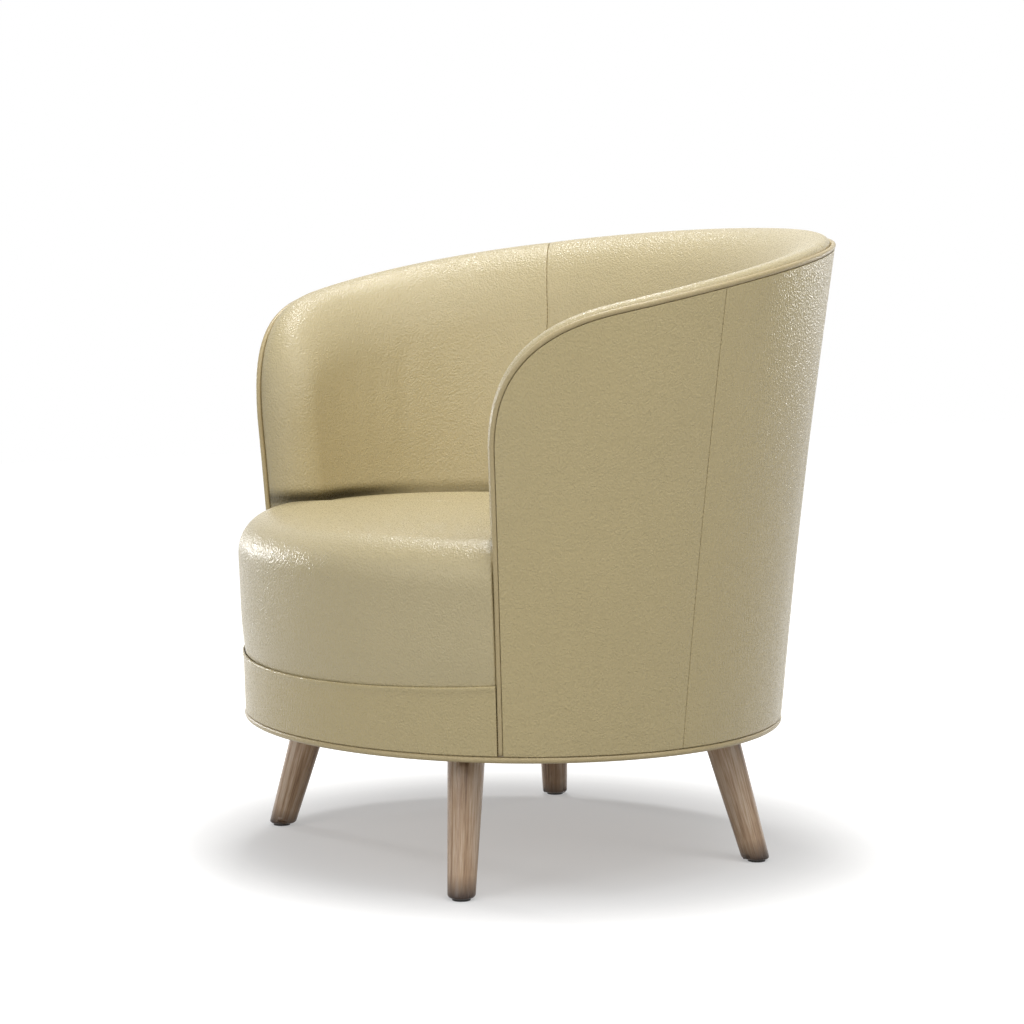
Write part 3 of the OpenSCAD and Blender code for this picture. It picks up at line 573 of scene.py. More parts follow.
def leather(name, pebble, code, relief, roughness):
    """Corrected-grain upholstery leather, drum-milled to a soft pebble and spray-finished.

    Low wavy pebbles break each highlight into specks, and their hollows are painted a little darker
    than their tops as painted shade. pebble is the distance between pebbles in millimetres."""
    m = new_material(name)
    place = add(m, "TexCoord").outputs["Object"]
    # Milling draws the pebbles out a little and bends their rows, so a slow noise pushes the pattern about
    laid = add(m, "Mapping", Vector=place, Rotation=(0.5, 0.6, 0.9), Scale=(1.0, 1.0, 0.8)).outputs["Vector"]
    drift = add(m, "TexNoise", Vector=place, Scale=1 / (pebble * 4 * MM), Detail=0.0).outputs["Color"]
    bent = add(m, "VectorMath", {"operation": "MULTIPLY_ADD"}, _0=drift, _1=(0.8 * pebble * MM,) * 3,
               _2=laid).outputs["Vector"]
    cells = add(m, "TexVoronoi", {"feature": "SMOOTH_F1"}, Vector=bent, Scale=1 / (pebble * MM),
                Smoothness=0.3).outputs["Distance"]
    folds = add(m, "TexNoise", Vector=bent, Scale=1.7 / (pebble * MM), Detail=0.0).outputs["Fac"]
    high = add(m, "Math", {"operation": "MULTIPLY_ADD"}, _0=cells, _1=-1.0, _2=folds).outputs["Value"]
    cloud = add(m, "TexNoise", Vector=place, Scale=1 / (120 * MM)).outputs["Fac"]
    wash = add(m, "MapRange", Value=cloud, From_Min=0.3, From_Max=0.7, To_Min=0.985,
               To_Max=1.015).outputs["Result"]
    # Painted shade: the pebbles' hollows are a few percent darker than their tops
    top = add(m, "MapRange", Value=high, From_Min=-0.25, From_Max=0.35, To_Min=0.95,
              To_Max=1.035).outputs["Result"]
    depth = add(m, "Math", {"operation": "MULTIPLY"}, _0=wash, _1=top).outputs["Value"]
    # Painted shade: the leather is darkened, down to a quarter, in the fold where the seat presses into the
    # padding
    fold = add(m, "Attribute", {"attribute_name": "fold"}).outputs["Fac"]
    painted_fold_shade = add(m, "MapRange", Value=fold, To_Min=1.0, To_Max=0.25).outputs["Result"]
    depth = add(m, "Math", {"operation": "MULTIPLY"}, _0=depth, _1=painted_fold_shade).outputs["Value"]
    tone = add(m, "VectorMath", {"operation": "SCALE"}, _0=linear(code)[:3], Scale=depth).outputs["Vector"]
    gloss = add(m, "MapRange", Value=high, From_Min=-0.25, From_Max=0.35, To_Min=roughness + 0.08,
                To_Max=roughness - 0.04).outputs["Result"]
    return surface(m, tone, gloss, high, relief, ior=1.42)


def washed_oak():
    """Turned oak under a grey-brown wash and satin lacquer.

    The wash lies in the open grain as pale streaks, pores break up the long highlights, and the
    leg is painted darker towards its foot over about 22 mm, as painted shade near the floor."""
    m = new_material("washed_oak")
    place = add(m, "Attribute", {"attribute_name": "turned"}).outputs["Vector"]
    grain = fibres(m, place, 1.6, 60.0)
    pores = fibres(m, place, 0.7, 14.0, 2.0)
    rays = fibres(m, place, 7.0, 260.0, 2.0)
    broad = add(m, "Math", {"operation": "MULTIPLY_ADD"}, _0=grain, _1=0.75, _2=rays).outputs["Value"]
    mixed = add(m, "Math", {"operation": "MULTIPLY_ADD"}, _0=pores, _1=0.35, _2=broad).outputs["Value"]
    shade = add(m, "MapRange", Value=mixed, From_Min=0.78, From_Max=1.3).outputs["Result"]
    washed = add(m, "ValToRGB", stops=[(0.0, "#86694F"), (0.35, "#A98A6C"), (0.62, "#BCA083"),
                                       (1.0, "#D2BDA6")], Fac=shade).outputs["Color"]
    # Painted shade: the leg darkens towards its foot over about 22 mm of its axis
    height = add(m, "SeparateXYZ", Vector=place).outputs["Z"]
    ragged = add(m, "Math", {"operation": "MULTIPLY_ADD"}, _0=grain, _1=-0.012, _2=height).outputs["Value"]
    foot = add(m, "MapRange", Value=ragged, From_Min=-0.004, From_Max=0.022).outputs["Result"]
    tone = add(m, "Mix", {"data_type": "RGBA"}, _0=foot, _6=linear("#3A281C"), _7=washed).outputs[2]
    gloss = add(m, "MapRange", Value=pores, From_Min=0.3, From_Max=0.7, To_Min=0.36,
                To_Max=0.24).outputs["Result"]
    return surface(m, tone, gloss, mixed, 0.09)


def sawn_wood(name, across, stops, relief):
    """Bare frame wood, planed and not sanded: short brown flecks on pale boards."""
    m = new_material(name)
    place = add(m, "TexCoord").outputs["Object"]
    laid = add(m, "Mapping", Vector=place, Rotation=(0, math.pi / 2, 0)).outputs["Vector"]
    level = add(m, "Math", {"operation": "MULTIPLY_ADD"}, _0=fibres(m, laid, 0.8, 5.0, 1.0), _1=0.3,
                _2=fibres(m, laid, across, across * 26)).outputs["Value"]
    shade = add(m, "MapRange", Value=level, From_Min=0.45, From_Max=0.85).outputs["Result"]
    tone = add(m, "ValToRGB", stops=stops, Fac=shade).outputs["Color"]
    return surface(m, tone, 0.62, level, relief)


def birch_plywood():
    """Birch plywood: a pale rotary-cut face, and edges that show veneers 1.5 mm thick, turn about."""
    m = new_material("birch_plywood")
    place = add(m, "TexCoord").outputs["Object"]
    laid = add(m, "Mapping", Vector=place, Rotation=(0, math.pi / 2, 0)).outputs["Vector"]
    level = add(m, "Math", {"operation": "MULTIPLY_ADD"}, _0=fibres(m, laid, 0.8, 12.0, 2.0), _1=0.35,
                _2=fibres(m, laid, 5.0, 90.0)).outputs["Value"]
    shade = add(m, "MapRange", Value=level, From_Min=0.4, From_Max=0.95).outputs["Result"]
    face = add(m, "ValToRGB", stops=[(0.0, "#B58F62"), (0.5, "#CCAB7F"), (1.0, "#DCC39C")],
               Fac=shade).outputs["Color"]
    height = add(m, "SeparateXYZ", Vector=place).outputs["Z"]
    veneer = add(m, "Math", {"operation": "PINGPONG"}, _0=height, _1=1.5 * MM).outputs["Value"]
    turn = add(m, "MapRange", Value=veneer, From_Min=0.6 * MM, From_Max=0.9 * MM).outputs["Result"]
    edge = add(m, "ValToRGB", stops=[(0.0, "#8A6540"), (1.0, "#C9A678")], Fac=turn).outputs["Color"]
    up = add(m, "SeparateXYZ", Vector=add(m, "NewGeometry").outputs["Normal"]).outputs["Z"]
    steep = add(m, "Math", {"operation": "ABSOLUTE"}, _0=up).outputs["Value"]
    flat = add(m, "MapRange", Value=steep, From_Min=0.69, From_Max=0.71).outputs["Result"]
    tone = add(m, "Mix", {"data_type": "RGBA"}, _0=flat, _6=edge, _7=face).outputs[2]
    return surface(m, tone, 0.55, level, 0.05)


def hardboard():
    """The thin hardboard that lines the frame: dark brown, with matted fibres about 1 mm long."""
    m = new_material("hardboard")
    place = add(m, "TexCoord").outputs["Object"]
    matted = add(m, "TexNoise", Vector=place, Scale=1 / (1.2 * MM), Detail=4.0, Distortion=1.5).outputs["Fac"]
    tone = add(m, "ValToRGB", stops=[(0.3, "#4F3A28"), (0.55, "#6B5038"), (0.75, "#80634A")],
               Fac=matted).outputs["Color"]
    return surface(m, tone, 0.7, matted, 0.08)


def metal(name, stops, mottle, roughness, relief):
    """Steel with its surface left as made: stops are its colours, mottle the size of its clouds in mm."""
    m = new_material(name)
    place = add(m, "TexCoord").outputs["Object"]
    cloud = add(m, "TexNoise", Vector=place, Scale=1 / (mottle * MM), Detail=4.0).outputs["Fac"]
    grit = add(m, "TexNoise", Vector=place, Scale=1 / (0.5 * MM)).outputs["Fac"]
    tone = add(m, "ValToRGB", stops=stops, Fac=cloud).outputs["Color"]
    gloss = add(m, "MapRange", Value=cloud, From_Min=0.3, From_Max=0.7, To_Min=roughness - 0.06,
                To_Max=roughness + 0.08).outputs["Result"]
    return surface(m, tone, gloss, grit, relief, 1.0)


def moulded_nylon():
    """Moulded black nylon: satin, with a fine eroded texture of 0.4 mm."""
    m = new_material("moulded_nylon")
    place = add(m, "TexCoord").outputs["Object"]
    spark = add(m, "TexNoise", Vector=place, Scale=1 / (0.4 * MM)).outputs["Fac"]
    tone = add(m, "ValToRGB", stops=[(0.3, "#1E1A17"), (0.7, "#2C2723")], Fac=spark).outputs["Color"]
    return surface(m, tone, 0.5, spark, 0.02)


def lining_cloth(name, codes, pitch, roughness, join):
    """Upholsterer's lining: cambric is a black fleece pressed with a lattice of dots (MULTIPLY), and
    deck cloth a plain weave of flat tapes (MAXIMUM). pitch is their distance in millimetres."""
    m = new_material(name)
    place = add(m, "TexCoord").outputs["Object"]
    across, along = (add(m, "TexWave", {"bands_direction": axis}, Vector=place,
                         Scale=0.314 / (pitch * MM)).outputs["Fac"] for axis in "XY")
    cross = add(m, "Math", {"operation": join}, _0=across, _1=along).outputs["Value"]
    fuzz = add(m, "TexNoise", Vector=place, Scale=1 / (0.9 * MM), Detail=4.0, Distortion=1.0).outputs["Fac"]
    level = add(m, "Math", {"operation": "MULTIPLY_ADD"}, _0=fuzz, _1=0.8, _2=cross).outputs["Value"]
    shade = add(m, "MapRange", Value=level, From_Min=0.3, From_Max=1.5).outputs["Result"]
    tone = add(m, "ValToRGB", stops=[(0.0, codes[0]), (0.5, codes[1]), (1.0, codes[2])],
               Fac=shade).outputs["Color"]
    return surface(m, tone, roughness, level, 0.12)


def sewing_thread():
    """Bonded polyester thread, a shade darker than the leather, mottled by its twist every 0.6 mm."""
    m = new_material("bonded_thread")
    place = add(m, "TexCoord").outputs["Object"]
    twist = add(m, "TexNoise", Vector=place, Scale=1 / (0.6 * MM)).outputs["Fac"]
    tone = add(m, "ValToRGB", stops=[(0.3, "#84724E"), (0.7, "#A39068")], Fac=twist).outputs["Color"]
    return surface(m, tone, 0.5, twist, 0.05)


PEBBLED_LEATHER = leather("pebbled_leather", 2.8, "#BCAC80", 0.6, 0.27)
# The same hide again for the inner covers and the seat, painted a shade paler and less yellow as painted
# light against the tub's own shade and warm bounce
PAINTED_PALER_LEATHER = leather("pebbled_leather_inside_painted_paler", 2.8, "#BEB089", 0.55, 0.27)
WELT_LEATHER = leather("welt_leather", 2.6, "#B6A57C", 0.3, 0.32)
WASHED_OAK = washed_oak()
PLANED_BEECH = sawn_wood("planed_beech", 2.2, [(0.0, "#A67C52"), (0.5, "#C79F74"), (1.0, "#D9B78E")], 0.08)
BIRCH_PLYWOOD = birch_plywood()
HARDBOARD = hardboard()
ZINC_PLATE = metal("zinc_plate", [(0.3, "#A9ADB2"), (0.55, "#BEC2C6"), (0.75, "#CDCFCD")], 6, 0.34, 0.01)
PHOSPHATED_STEEL = metal("phosphated_steel", [(0.3, "#5E6165"), (0.55, "#74777B"), (0.75, "#868889")],
                         9, 0.42, 0.02)
GROUND_STEEL = metal("ground_steel", [(0.3, "#9EA1A5"), (0.55, "#B4B7BA"), (0.75, "#C4C6C8")], 4, 0.2, 0.005)
MOULDED_NYLON = moulded_nylon()
BLACK_CAMBRIC = lining_cloth("black_cambric", ("#0F0F10", "#1D1D1F", "#2B2B2D"), 2.4, 0.85, "MULTIPLY")
DECK_CLOTH = lining_cloth("woven_deck_cloth", ("#4A4843", "#6B6861", "#8A867D"), 2.0, 0.7, "MAXIMUM")
THREAD = sewing_thread()

# The CAD nodes that show as they are
for material, names in (
        (BIRCH_PLYWOOD, "base_platform bottom_ring swivel_board_panel back_board left_board right_board"),
        (PLANED_BEECH, "front_rail left_rail right_rail back_rail left_arm_post right_arm_post "
                       "back_uprights top_rail"),
        (HARDBOARD, "back_liner left_liner right_liner"),
        (ZINC_PLATE, "hanger_bolts leg_plate_screws lower_plate_screws upper_plate_screws king_pin "
                     "spring_clips"),
        (PHOSPHATED_STEEL, "leg_plates lower_swivel_plate upper_swivel_plate seat_springs"),
        (GROUND_STEEL, "lower_race upper_race ball_cage bearing_balls"),
        (MOULDED_NYLON, "foot_glides")):
    for node in names.split():
        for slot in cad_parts[node].material_slots:
            slot.material = material


# Outer leather

EDGE_ROUND = 0.8
PANEL_SWELL = 0.8
PANEL_SWELL_REACH = 30
PANEL_HEIGHT = 560
PANEL_ROW = 8
LEATHER_THICK = 1.1
SLACK = 0.35
SLACK_LENGTH = 110


def turned_edge(e):
    """Depth of a panel's face e mm from its edge: the edge turns in, and the middle swells."""
    inside = EDGE_ROUND - min(e, EDGE_ROUND)
    turn = EDGE_ROUND - math.sqrt(EDGE_ROUND ** 2 - inside ** 2)
    return turn - PANEL_SWELL * (1 - math.exp(-e / PANEL_SWELL_REACH))


def slack(u, z):
    """A slow unevenness of stretched leather, in mm."""
    return SLACK * noise.noise(Vector((u * MM_PER_DEGREE / SLACK_LENGTH, z / SLACK_LENGTH, 3.7)))


def outer_leather(name, start, end, foot_end, mirror, replaced):
    """A leather panel from the hem up to the rim welt, between two stations of the rim."""
    columns = panel_columns(start, end, foot_end)
    rows = spaced(PANEL_HEIGHT, PANEL_ROW)

    def place(i, j):
        foot, s, from_start, from_end = columns[i]
        u, z = up_wall(foot, s, PANEL_EDGE, HEM_TOP, rows[j])
        top_u, top_z = beside_rim(s, -PANEL_EDGE)
        height = math.hypot(top_z - HEM_TOP, (top_u - foot) * MM_PER_DEGREE)
        edge = min(from_start, from_end, rows[j] * height, (1 - rows[j]) * height)
        return wall(u, z, turned_edge(edge) - slack(u, z))

    bm = grid(len(columns), len(rows), place)
    bmesh.ops.reverse_faces(bm, faces=bm.faces)
    bmesh.ops.remove_doubles(bm, verts=bm.verts, dist=0.01 * MM)
    piece = finish_mesh(name, mirrored(bm) if mirror else bm)
    thicken(piece, LEATHER_THICK)
    dress(piece, "tub", "leather", PEBBLED_LEATHER, replaced)


arm_end = front_s(HEM_TOP)
for side, mirror in (("left", False), ("right", True)):
    outer_leather(side + "_arm_leather", SIDE_SEAM + SLIT, arm_end, COVER_FOOT, mirror, side + "_arm_cover")
    outer_leather(side + "_rear_leather", REAR_SEAM + SLIT, SIDE_SEAM - SLIT, 0, mirror, side + "_rear_cover")
outer_leather("back_outer_leather", SLIT - REAR_SEAM, REAR_SEAM - SLIT, 0, False, "back_outer_cover")


BAND_END_GAP = 0.62
BAND_EDGE_STEPS = (0.4, 0.9, 1.5, 2.2, 3.0, 4.0, 5.5, 7.5)


def front_band():
    """The band under the seat, with its top edge folded over into a lip."""
    start, end = CORNER_TO + BAND_END_GAP, 360 - CORNER_TO - BAND_END_GAP
    # The tub is narrower at the band than halfway up, where a degree was measured
    length = (end - start) * MM_PER_DEGREE * 0.95
    across = spaced(length, COLUMN_STEP)
    up = spaced(BAND_TOP_FRONT - HEM_TOP, 6, BAND_EDGE_STEPS)
    lip_proud, lip_height, bead = 1.1, 3.5, 2.3

    def place(i, j):
        u = start + (end - start) * across[i]
        z = HEM_TOP + (band_top(u) - HEM_TOP) * up[j]
        below = band_top(u) - z
        d = turned_edge(min(min(across[i], 1 - across[i]) * length, z - HEM_TOP, below))
        lip = lip_proud * (1 - ease((below - lip_height) / 5))
        over = bead - math.sqrt(bead ** 2 - (bead - min(below, bead)) ** 2)
        return wall(u, z, max(d, over) - lip - slack(u, z))

    bm = grid(len(across), len(up), place)
    bmesh.ops.reverse_faces(bm, faces=bm.faces)
    piece = finish_mesh("front_band_leather", bm)
    thicken(piece, LEATHER_THICK)
    dress(piece, "tub", "leather", PEBBLED_LEATHER, "front_band")


front_band()


# Welts

WELT_SIDES = 16


def welt(name, stations, ring_point, closed, replaced):
    """A leather-covered cord: ring_point(station, angle) is a point round its section."""
    count = len(stations)

    def place(i, j):
        return ring_point(stations[i % count], 360 * (j % WELT_SIDES) / WELT_SIDES)

    bm = grid(count + 1 if closed else count, WELT_SIDES + 1, place)
    merge(bm)
    close(bm)
    face_out(bm)
    dress(finish_mesh(name, bm), "tub", "leather", WELT_LEATHER, replaced)


def rim_ring(s, a):
    """A point of the rim welt's skin, a degrees round its cord."""
    u, z = beside_rim(s, RIM_WELT / 2 * sine(a))
    return wall(u, z, RIM_CORD_D - RIM_WELT / 2 * cosine(a))


def hem_ring(u, a):
    """A point of the hem welt's skin, a degrees round its cord."""
    height = Vector((0, 0, HEM_WELT / 2 * sine(a) * MM))
    return wall(u, HEM_Z, HEM_CORD_D - HEM_WELT / 2 * cosine(a)) + height


half_rim = rim_stations(0, front_s(HEM_TOP + 1), 5)[0]
welt("rim_welt", [-s for s in reversed(half_rim[1:])] + half_rim, rim_ring, False, "rim_welt_cord")
welt("hem_welt", [360 * i / 420 for i in range(420)], hem_ring, True, "hem_welt_cord")


# Padding and inner leather

FACE_ROWS = 58
ROLL_TURNS = 30
BACK_ROWS = 12
SEAM_ROUND = 1.3
PAD_SWELL = 0.7
PAD_SWELL_REACH = 28
PAD_CAP = 4.0
PAD_EDGE_STEPS = (0.6, 1.4, 2.6, 4.5, 7.5, 12)


def mark_painted_fold_shade(piece, all_round):
    """Gives each point a share of painted shade, 1 deep in the fold between the seat and the inner leather.

    all_round is for a pad, whose front roll is in the fold too."""
    marks = piece.data.attributes.new("fold", "FLOAT", "POINT")
    for v in piece.data.vertices:
        z = v.co.z / MM
        x, y = abs(v.co.x) / MM, v.co.y / MM - AXIS_Y - BACK_LEAN * (z - HEM_Z)
        turn = math.degrees(math.atan2(x / half_width(z), y / half_depth(z)))
        shown = 1.0
        if not all_round:
            share = math.hypot(x / half_width(z), y / half_depth(z))
            deep = math.hypot(x, y) * (1 / max(share, 0.001) - 1)
            shown = ease((thickness(turn, z) + 9 - deep) / 6) * ease((deep - 3) / 8)
            shown *= 1 - ease((turn - CORNER_TO + 0.5) / 1.5)
        marks.data[v.index].value = shown * crease(turn, z - 5) / CREASE_DEPTH


def beside_seat(z):
    """1 where the seat keeps the padding from swelling, up to 15 mm over its edge, and 0 from 60 mm."""
    return 1 - ease((z - SEAT_EDGE_Z - 15) / 45)


def inner_pad(name, start, end, foot_end, mirror, *replaced):
    """A padded panel: up the inner face, over the rim and down behind the welt, as one closed form."""
    columns = panel_columns(start, end, foot_end, PAD_EDGE_STEPS)
    turns = [180 * k / ROLL_TURNS for k in range(ROLL_TURNS + 1)]
    behind = [LINER_BACK + (FRAME_FACE + 0.5 - LINER_BACK) * k / 4 for k in range(4, -1, -1)]
    roll_row, behind_row = FACE_ROWS, FACE_ROWS + len(turns)
    back_row = behind_row + len(behind)
    rows = back_row + BACK_ROWS
    held = {}

    def place(i, j):
        foot, s, from_start, from_end = columns[i]
        edge = min(from_start, from_end)
        inside = SEAM_ROUND - min(edge, SEAM_ROUND)
        seam = SEAM_ROUND - math.sqrt(SEAM_ROUND ** 2 - inside ** 2)
        seam -= PAD_SWELL * (1 - math.exp(-edge / PAD_SWELL_REACH))
        hold = 1 - ease((edge - 2) / 16)
        if j < roll_row:
            u, z = up_wall(foot, s, roll_depth(s), PAD_BASE, j / FACE_ROWS)
            point = wall(u, z, thickness(u, z) - seam - crease(u, z))
            hold = max(hold, beside_seat(z))
        elif j < behind_row:
            f = turns[j - roll_row]
            u, z, d = roll_point(s, f)
            fade = seam * sine(clamp(180 - f, 0, 90))
            drawn = crease(u, z) * (1 - ease((f - 60) / 110))
            point = wall(u - drawn * sine(f) / MM_PER_DEGREE, z, d - (fade + drawn) * cosine(f))
            point.z -= fade * sine(f) * MM
            hold = max(hold, ease((f - 100) / 60), beside_seat(z))
        elif j < back_row:
            u, z = beside_rim(s, -UNDER_RIM)
            point = wall(u, z, behind[j - behind_row])
            hold = 1.0
        else:
            u, z = up_wall(foot, s, roll_depth(s), PAD_BASE, 1 - (j - back_row) / (BACK_ROWS - 1))
            point = wall(u, z, LINER_BACK)
            hold = 1.0
        if mirror:
            point.x = -point.x
        held[tuple(round(c / MM, 2) for c in point)] = hold
        return point

    bm = grid(len(columns), rows + 1, lambda i, j: place(i, j % rows))
    merge(bm)
    close(bm)
    face_out(bm)
    piece = finish_mesh(name, bm)
    points = piece.data.vertices
    mark_painted_fold_shade(piece, True)
    plump(piece, lambda k: held.get(tuple(round(c / MM, 2) for c in points[k].co), 1.0), PAD_CAP)
    subdivide(piece)
    dress(piece, "tub", "leather", PAINTED_PALER_LEATHER, *replaced)


inner_end = front_s(PAD_BASE)
inner_pad("back_pad", SLIT - INNER_SEAM, INNER_SEAM - SLIT, 0, False, "inner_back_cover", "back_foam")
for side, mirror in (("left", False), ("right", True)):
    inner_pad(side + "_arm_pad", INNER_SEAM + SLIT, inner_end, PAD_FOOT, mirror,
              side + "_inner_cover", side + "_arm_foam")


# Seat

SEAT_CENTRE = Vector((0.0, AXIS_Y - SEAT_FORWARD)) * MM
SEAT_HALF = 42
SEAT_SMOOTHING = 60
SHOULDER_ROWS = 10
SKIRT_ROWS = 15
SEAT_CAP = 4.0
CROWN_POWER = 2.6
CROWN_FROM_PRESSURE = 2.0
SEAT_IN_FOLD = 0.85
BEHIND_BAND = 3
OUTLINE_PARTS = 8
CORNER_COLUMNS = 30.0
CORNER_SWING = 0.22


def seat_outline():
    """Half of the seat's edge as (angle, share, depth): share is 0 between the arms and 1 at the front.

    Between the two it turns out along the arm's front edge, as far as the arm is thick."""
    half = [(6.5 * k, 0.0, thickness(6.5 * k, SEAT_EDGE_Z) + LAYER_GAP) for k in range(19)]
    half += [(121.5, 0.1, ARM_THICKNESS + LAYER_GAP), (125.5, 0.3, ARM_THICKNESS - 3),
             (127.65, 0.5, ARM_THICKNESS - 12), (128.8, 0.65, ARM_THICKNESS - 25), (129.1, 0.78, 40.0),
             (129.0, 0.86, 29.0), (128.7, 0.93, 18.5), (128.25, 0.97, 11.5), (128.1, 1.0, 6.0),
             (128.08, 1.0, 1.3), (128.5, 1.0, 0.2), (134.5, 1.0, 0.0)]
    return half + [(141 + 6.5 * k, 1.0, 0.0) for k in range(7)]


def between(values, place):
    """The row at a place between two whole ones in a list of rows."""
    k = min(len(values) - 2, int(place))
    return tuple(a + (b - a) * (place - k) for a, b in zip(values[k], values[k + 1]))


def seat_columns(count):
    """count columns evenly spaced round the seat, each (angle, share, depth)."""
    half = seat_outline()
    dense = [between(half, k / OUTLINE_PARTS) for k in range(OUTLINE_PARTS * (len(half) - 1) + 1)]
    # The corner that fills the arm's front edge gets closer columns
    path = [(k, (*wall(u, SEAT_EDGE_Z, d)[:2], CORNER_COLUMNS * MM * ease((u - CORNER_TO) / 2.5)))
            for k, (u, _, d) in enumerate(dense)]
    found = [between(dense, place) for place in evenly(path, count // 2)[0]]
    eased = [tuple(0.25 * a + 0.5 * b + 0.25 * c for a, b, c in zip(*three))
             for three in zip(found, found[1:], found[2:])]
    return [found[0]] + eased + [found[-1]] + [(360 - u, share, d) for u, share, d in reversed(eased)]


def seat_radius(share):
    """The shoulder's radius, small beside the padding and large at the front."""
    return SEAT_SIDE_RADIUS + (SEAT_FRONT_RADIUS - SEAT_SIDE_RADIUS) * share ** 2


def seat_side_depth(column, z):
    """Depth of the seat's side: against the padding's fold, or bulging and then tucked behind the band."""
    u, share, d = column
    if share < 0.1:
        return thickness(u, z) + LAYER_GAP - SEAT_IN_FOLD * crease(u, z)
    tuck = SEAT_TUCK * (1 - clamp((z - BAND_TOP_FRONT) / 50)) ** 1.5
    return d + ease((share - 0.95) / 0.05) * (tuck - SEAT_BULGE)


def seat_angle(column, z):
    """The corner keeps to the arm's front edge, which swings a little further than the seat's outline."""
    u, share, _ = column
    beside = ease((131 - u) / 2) * ease((share - 0.8) / 0.15)
    return u - CORNER_SWING * beside * clamp((SEAT_EDGE_Z - z) / 150)


def seat_edge_point(column, f):
    """A point of the shoulder: f is 0 at the side and 90 at the top."""
    r = seat_radius(column[1])
    z = SEAT_EDGE_Z - r
    p = wall(seat_angle(column, z), z, seat_side_depth(column, z) + r - r * cosine(f))
    return Vector((p.x, p.y, (z + r * sine(f)) * MM))


def seat():
    """The seat's leather over its foam: a square grid drawn round for the top, and a skirt."""
    count = 8 * SEAT_HALF
    columns = seat_columns(count)
    rims = [seat_edge_point(c, 90) for c in columns]
    crown = SEAT_CROWN - CROWN_FROM_PRESSURE

    def top(i, j):
        x, y = (i - SEAT_HALF) / SEAT_HALF, (j - SEAT_HALF) / SEAT_HALF
        share = max(abs(x), abs(y))
        if share == 0:
            turn = 0
        elif abs(x) >= abs(y):
            turn = y / x * 45 + (0 if x > 0 else 180)
        else:
            turn = 90 - x / y * 45 + (0 if y > 0 else 180)
        edge = rims[round(-(turn - 90) % 360 / 360 * count) % count]
        flat = SEAT_CENTRE.lerp(edge.xy, share)
        return Vector((flat.x, flat.y, (SEAT_EDGE_Z + crown * (1 - share ** CROWN_POWER)) * MM))

    def side(i, j):
        column = columns[i % count]
        if j < SHOULDER_ROWS:
            return seat_edge_point(column, 90 - 90 * j / (SHOULDER_ROWS - 1))
        t = (j - SHOULDER_ROWS + 1) / SKIRT_ROWS
        high = SEAT_EDGE_Z - seat_radius(column[1])
        low = band_top(column[0]) - BEHIND_BAND if column[1] > 0.2 else SEAT_BASE
        z = high + (low - high) * t
        return wall(seat_angle(column, z), z, seat_side_depth(column, z))

    bm = grid(2 * SEAT_HALF + 1, 2 * SEAT_HALF + 1, top)
    inside = [v for v in bm.verts if not v.is_boundary]
    # Without this the crown would show a faint line running in from each arm's front corner
    for _ in range(SEAT_SMOOTHING):
        bmesh.ops.smooth_vert(bm, verts=inside, factor=0.5, use_axis_z=True)
    skirt = grid(count + 1, SHOULDER_ROWS + SKIRT_ROWS, side)
    lower = bpy.data.meshes.new("skirt")
    skirt.to_mesh(lower)
    skirt.free()
    bm.from_mesh(lower)
    bpy.data.meshes.remove(lower)
    merge(bm, 0.1)
    close(bm)
    face_out(bm)
    piece = finish_mesh("seat_pad", bm)
    points = piece.data.vertices
    mark_painted_fold_shade(piece, False)
    back_of_front = wall(CORNER_TO, SEAT_EDGE_Z, 0).y

    def hold(k):
        """The leather is held under the band and where it goes down beside the arms and back."""
        low = 1 - ease((points[k].co.z / MM - BAND_TOP_SIDE) / 60)
        beside = 1 - ease((points[k].co.z / MM - SEAT_EDGE_Z + 2) / 6)
        return max(low, beside * ease((points[k].co.y - back_of_front) / (15 * MM) + 1.5))

    plump(piece, hold, SEAT_CAP)
    subdivide(piece)
    dress(piece, "tub", "leather", PAINTED_PALER_LEATHER, "seat_cover", "seat_foam")


seat()


# Stitches

STITCH_PITCH = 6.0
STITCH_SINK = 0.5
STITCH_LENGTH = 3.6
THREAD_WIDTH = 1.0


def sew(name, lines):
    """A row of stitches along each line of points."""
    stitch = bmesh.new()
    bmesh.ops.create_uvsphere(stitch, u_segments=6, v_segments=4, radius=0.5)
    bmesh.ops.scale(stitch, vec=Vector((THREAD_WIDTH, THREAD_WIDTH, STITCH_LENGTH)) * MM, verts=stitch.verts)
    places = [place for line in lines for place in spread_along(line, STITCH_PITCH)]
    dress(repeat(name, stitch, places), "tub", "leather", THREAD)


def outer_seam(s):
    """Up the outer leather from the hem to the rim welt."""
    return [wall(*up_wall(s, s, PANEL_EDGE, HEM_TOP, k / 60), STITCH_SINK) for k in range(1, 60)]


def inner_seam(s):
    """From the seat up the inner face and over the roll to the welt."""
    face = [up_wall(s, s, roll_depth(s), SEAT_EDGE_Z, k / 30) for k in range(31)]
    line = [wall(u, z, thickness(u, z) - STITCH_SINK) for u, z in face]
    for f in range(9, 180, 9):
        u, z, d = roll_point(s, f)
        line.append(wall(u, z, d - STITCH_SINK * cosine(f)) - Vector((0, 0, STITCH_SINK * sine(f) * MM)))
    return line


sew("side_seam_stitches", both_sides([outer_seam(SIDE_SEAM)]))
sew("rear_seam_stitches", both_sides([outer_seam(REAR_SEAM)]))
sew("inner_seam_stitches", both_sides([inner_seam(INNER_SEAM)]))
hem_line = [wall(u, HEM_TOP - 0.35, 0.8) for u in range(361)]
sew("hem_stitches", [hem_line])


# Cloth under the tub and under the seat

CLOTH_THICK = 0.4
STAPLE_PITCH = 45


